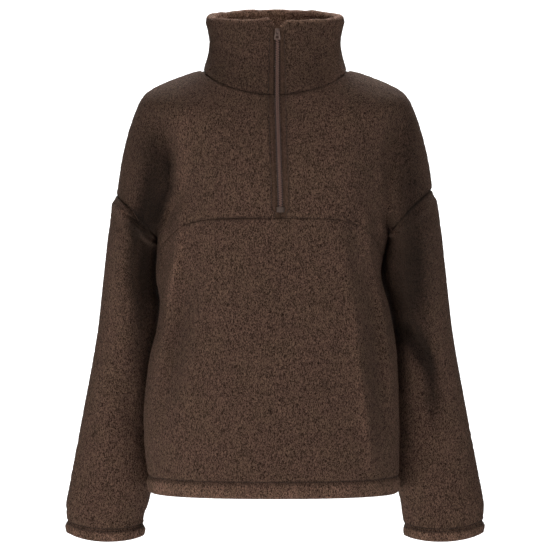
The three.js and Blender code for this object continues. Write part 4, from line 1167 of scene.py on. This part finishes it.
def tack_rows():
    """A small sewn block that ends the zip."""
    made = []
    sideways = np.linspace(-5.5, 5.5, 5)[:, None] * [1, 0, 0]
    lift = np.array([-1.2, 0.5, 0.7, 0.5, -1.2])[:, None]
    for z in np.arange(ZIP_BOTTOM - 6, ZIP_BOTTOM + 1.5, 1.1):
        level = np.full(5, z)
        made.append(zip_surface(level) + zip_outwards(level) * lift + sideways)
    return made


print("tack threads", len(tack_rows()))

# %% [markdown]
# Materials are built from nodes, so a few helpers keep each of them to a short list of steps: add a node
# with its inputs, do a sum, spread a value over a new range, blend, and look up a colour.

# %% Material helpers
def set_inputs(tree, n, inputs):
    """Gives each input a value, or a link where the value is another node's output."""
    for key, value in inputs.items():
        if isinstance(value, bpy.types.NodeSocket):
            tree.links.new(value, n.inputs[key])
        else:
            n.inputs[key].default_value = value


def node(tree, kind, inputs=None, **settings):
    n = tree.nodes.new(kind)
    for key, value in settings.items():
        setattr(n, key, value)
    set_inputs(tree, n, inputs or {})
    return n


def maths(tree, operation, a, b=0.0):
    return node(tree, "ShaderNodeMath", {0: a, 1: b}, operation=operation).outputs[0]


def spread(tree, value, low, high, to_low=0.0, to_high=1.0, smooth=False):
    kind = "SMOOTHSTEP" if smooth else "LINEAR"
    sizes = {"Value": value, "From Min": low, "From Max": high, "To Min": to_low, "To Max": to_high}
    return node(tree, "ShaderNodeMapRange", sizes, interpolation_type=kind).outputs[0]


def blend_colours(tree, factor, a, b, kind="MIX"):
    inputs = {0: factor, 6: a, 7: b}
    return node(tree, "ShaderNodeMix", inputs, data_type="RGBA", blend_type=kind).outputs[2]


def ramp(tree, factor, *stops):
    n = node(tree, "ShaderNodeValToRGB", {"Fac": factor})
    for element, (place, colour) in zip(n.color_ramp.elements, (stops[0], stops[-1])):
        element.position, element.color = place, (*colour, 1)
    for place, colour in stops[1:-1]:
        n.color_ramp.elements.new(place).color = (*colour, 1)
    return n.outputs["Color"]


def new_material(name, roughness, metallic=0.0):
    material = bpy.data.materials.new(name)
    material.use_nodes = True
    tree = material.node_tree
    shader = tree.nodes["Principled BSDF"]
    set_inputs(tree, shader, {"Roughness": roughness, "Metallic": metallic})
    return material, tree, shader


print("helpers ready for Blender", bpy.app.version_string)

# %% [markdown]
# Sherpa pile is a mass of small curls parted by short clefts, a little longer down the cloth than across.
# Hair would need millions of strands, so the curls are noise instead: its middle line, taken as a ridge,
# bends like a curl, and finer noise breaks it up. As a group it gives out only a height.

# %% Curls
def pile_group():
    """Height of the curled pile, from the place on the garment: curled ridges parted by short clefts."""
    group = bpy.data.node_groups.new("pile_curls", "ShaderNodeTree")
    group.interface.new_socket("Place", in_out="INPUT", socket_type="NodeSocketVector")
    group.interface.new_socket("Height", in_out="OUTPUT", socket_type="NodeSocketFloat")
    start, end = group.nodes.new("NodeGroupInput"), group.nodes.new("NodeGroupOutput")
    stretched = {0: start.outputs[0], 1: (1, 1, 0.48)}
    place = node(group, "ShaderNodeVectorMath", stretched, operation="MULTIPLY").outputs[0]
    swirl = {"Vector": place, "Scale": 520, "Detail": 1, "Roughness": 0.5, "Distortion": 0.8}
    bend = maths(group, "SUBTRACT", node(group, "ShaderNodeTexNoise", swirl).outputs["Fac"], 0.5)
    ridge = spread(group, maths(group, "ABSOLUTE", bend), 0.0, 0.1, smooth=True)
    fine = {"Vector": place, "Scale": 800, "Detail": 2, "Roughness": 0.6, "Distortion": 0.6}
    curls = spread(group, node(group, "ShaderNodeTexNoise", fine).outputs["Fac"], 0.3, 0.7)
    height = maths(group, "ADD", maths(group, "MULTIPLY", ridge, 0.45), maths(group, "MULTIPLY", curls, 0.55))
    group.links.new(height, end.inputs["Height"])
    return group


PILE_GROUP = pile_group()
print("pile group", len(PILE_GROUP.nodes), "nodes")

# %% [markdown]
# The fleece is brown and matt. Its colour follows the pile's height, so painted shade lies in its clefts and
# painted light on its curls, with a slow change between a warm and an olive brown. Where the cloth is pressed
# the curls are flatter. Painted shade and light from the mesh scale the colour. A little sheen gives the soft
# glow of pile seen along its surface.

# %% Fleece
def fleece_material():
    material, tree, shader = new_material("fleece", 0.95)
    place = node(tree, "ShaderNodeTexCoord").outputs["Object"]
    pile = node(tree, "ShaderNodeGroup", node_tree=PILE_GROUP)
    set_inputs(tree, pile, {"Place": place})
    painted_light_and_shade = node(tree, "ShaderNodeAttribute", attribute_name="painted_light_and_shade").outputs["Fac"]
    pressed = node(tree, "ShaderNodeAttribute", attribute_name="pressed").outputs["Fac"]
    flatter = spread(tree, pressed, 0.0, 1.0, 1.0, 0.35)
    height = maths(tree, "MULTIPLY", maths(tree, "SUBTRACT", pile.outputs["Height"], 0.5), flatter)
    height = maths(tree, "ADD", height, 0.5)
    # The ramps paint shade into the clefts and light onto the curls.
    browns = dict(
        warm=((0.009, 0.004, 0.0027), (0.066, 0.035, 0.0243), (0.178, 0.101, 0.071)),
        olive=((0.0085, 0.0043, 0.0024), (0.064, 0.0375, 0.0225), (0.172, 0.105, 0.068)),
    )
    warm, olive = (ramp(tree, height, *zip((0.2, 0.5, 0.85), colours)) for colours in browns.values())
    mottle = node(tree, "ShaderNodeTexNoise", {"Vector": place, "Scale": 30, "Detail": 3}).outputs["Fac"]
    colour = blend_colours(tree, spread(tree, mottle, 0.42, 0.62, 0.0, 0.45), warm, olive)
    # Painted shade (over 0) and painted light (under 0) from the mesh scale the colour.
    dark = spread(tree, painted_light_and_shade, -4.0, 1.5, 3.4, 0.1)
    shade = node(tree, "ShaderNodeCombineColor", {0: dark, 1: dark, 2: dark}).outputs[0]
    colour = blend_colours(tree, 1.0, colour, shade, "MULTIPLY")
    bump = node(tree, "ShaderNodeBump", {"Height": height, "Strength": 0.9, "Distance": 0.0018})
    sheen = {"Sheen Weight": 0.13, "Sheen Roughness": 0.45, "Sheen Tint": (0.5, 0.34, 0.25, 1)}
    look = {"Base Color": colour, "Normal": bump.outputs["Normal"], "Specular IOR Level": 0.12, **sheen}
    set_inputs(tree, shader, look)
    return material


FLEECE = fleece_material()
print("fleece", len(FLEECE.node_tree.nodes), "nodes")

# %% [markdown]
# The zip's parts are dyed to match the fleece: woven tape, nylon coil, metal slider and tab, thread. One
# plain material with a slight mottle serves them all, because they are small and seen from afar.

# %% Zip and thread
def plain_material(name, colour, roughness, metallic=0.0, grain=0.0, scale=900):
    material, tree, shader = new_material(name, roughness, metallic)
    place = node(tree, "ShaderNodeTexCoord").outputs["Object"]
    mottle = node(tree, "ShaderNodeTexNoise", {"Vector": place, "Scale": scale, "Detail": 3}).outputs["Fac"]
    dark, light = (tuple(c * share for c in colour) for share in (0.75, 1.2))
    set_inputs(tree, shader, {"Base Color": ramp(tree, mottle, (0.3, dark), (0.7, light))})
    if grain:
        bump = node(tree, "ShaderNodeBump", {"Height": mottle, "Strength": grain, "Distance": 0.0004})
        set_inputs(tree, shader, {"Normal": bump.outputs["Normal"]})
    return material


TAPE = plain_material("woven_tape", (0.036, 0.021, 0.017), 0.85, grain=0.5)
COIL = plain_material("zip_coil", (0.2, 0.11, 0.086), 0.85)
METAL = plain_material("dyed_metal", (0.15, 0.095, 0.075), 0.5, metallic=0.3, scale=200)
THREAD = plain_material("thread", (0.035, 0.02, 0.015), 0.8)
TACK = plain_material("tack_thread", (0.1, 0.065, 0.05), 0.8)
for name, obj in cloth.items():
    obj.data.materials.append(FLEECE)
    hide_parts(name)
    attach(obj, "garment")
ZIP_MATERIALS = dict(zip_tape_left=TAPE, zip_tape_right=TAPE, zip_slider=METAL, pull_tab=METAL)
for name, material in ZIP_MATERIALS.items():
    solid = bpy.data.objects[name]
    solid.data.materials.clear()
    solid.data.materials.append(material)
teeth = tubes_object("zip_coil_rows", [coil(1), coil(-1)], 0.5, 6, COIL)
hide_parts("zip_chain")
tubes_object("topstitching", sewn_rows, 0.32, 5, THREAD)
tubes_object("zip_tack", tack_rows(), 0.55, 6, TACK)
print("materials", [m.name for m in bpy.data.materials])

# %% [markdown]

# %% [markdown]
# The stage is a photo studio: a pale floor and a white wall, soft light from low on the front left, weaker
# light from the right and a back light on the shoulders. The boards are clear from behind, so that the
# garment can be looked at from all sides.

# %% Stage
def plain_board(name, half_width, first, last, grey, glow):
    """A glowing board between two lines across the picture, each given by its y and z."""
    corners = [(-half_width, *first), (half_width, *first), (half_width, *last), (-half_width, *last)]
    mesh = bpy.data.meshes.new(name)
    mesh.from_pydata(corners, [], [(0, 1, 2, 3)])
    material, tree, shader = new_material(name, 0.9)
    white = {"Emission Color": (1, 1, 1, 1), "Emission Strength": glow}
    set_inputs(tree, shader, {"Base Color": (grey, grey, grey, 1), **white})
    from_behind = node(tree, "ShaderNodeNewGeometry").outputs["Backfacing"]
    clear = node(tree, "ShaderNodeBsdfTransparent").outputs[0]
    one_sided = node(tree, "ShaderNodeMixShader", {0: from_behind, 1: shader.outputs[0], 2: clear})
    set_inputs(tree, tree.nodes["Material Output"], {"Surface": one_sided.outputs[0]})
    mesh.materials.append(material)
    return put(name, mesh)


def area_light(name, place, target, size, power):
    data = bpy.data.lights.new(name, "AREA")
    data.shape = "SQUARE"
    data.size = size
    data.energy = power
    obj = put(name, data)
    obj.location = place
    obj.rotation_euler = (Vector(target) - Vector(place)).to_track_quat("-Z", "Y").to_euler()
    return obj


FLOOR_Z, FLOOR_START, WALL_Y, WALL_TOP = -1.2, -6, 2.2, 1
floor = plain_board("floor", 5, (FLOOR_START, FLOOR_Z), (WALL_Y, FLOOR_Z), 0.8, 0.34)
wall = plain_board("wall", 1.3, (WALL_Y, FLOOR_Z), (WALL_Y, WALL_TOP), 0.6, 0.92)
middle, shoulders = (0, 0, -0.4), (0, 0, -0.1)
key = area_light("key_light", (-0.95, -1.6, -1.2), middle, 1.3, 40)
fill = area_light("fill_light", (0.8, -1.5, 1.2), shoulders, 1.1, 17)
back = area_light("back_light", (0, 1.5, 1.7), shoulders, 1.2, 85)
print("stage", [obj.name for obj in (floor, wall, key, fill, back)])

# %% [markdown]
# The room around the stage gives hardly any light of its own, but it looks white to the camera, so that
# the picture has no dark rim beside the wall.

# %% Room
world = bpy.data.worlds.new("studio")
bpy.context.scene.world = world
world.use_nodes = True
room = world.node_tree
soft_light = room.nodes["Background"]
set_inputs(room, soft_light, {"Color": (1, 1, 1, 1), "Strength": 0.07})
seen = node(room, "ShaderNodeBackground", {"Color": (1, 1, 1, 1), "Strength": 1.0})
rays = node(room, "ShaderNodeLightPath").outputs["Is Camera Ray"]
sky = node(room, "ShaderNodeMixShader", {0: rays, 1: soft_light.outputs[0], 2: seen.outputs[0]})
set_inputs(room, room.nodes["World Output"], {"Surface": sky.outputs[0]})
print("room light", soft_light.inputs["Strength"].default_value)

# %% [markdown]
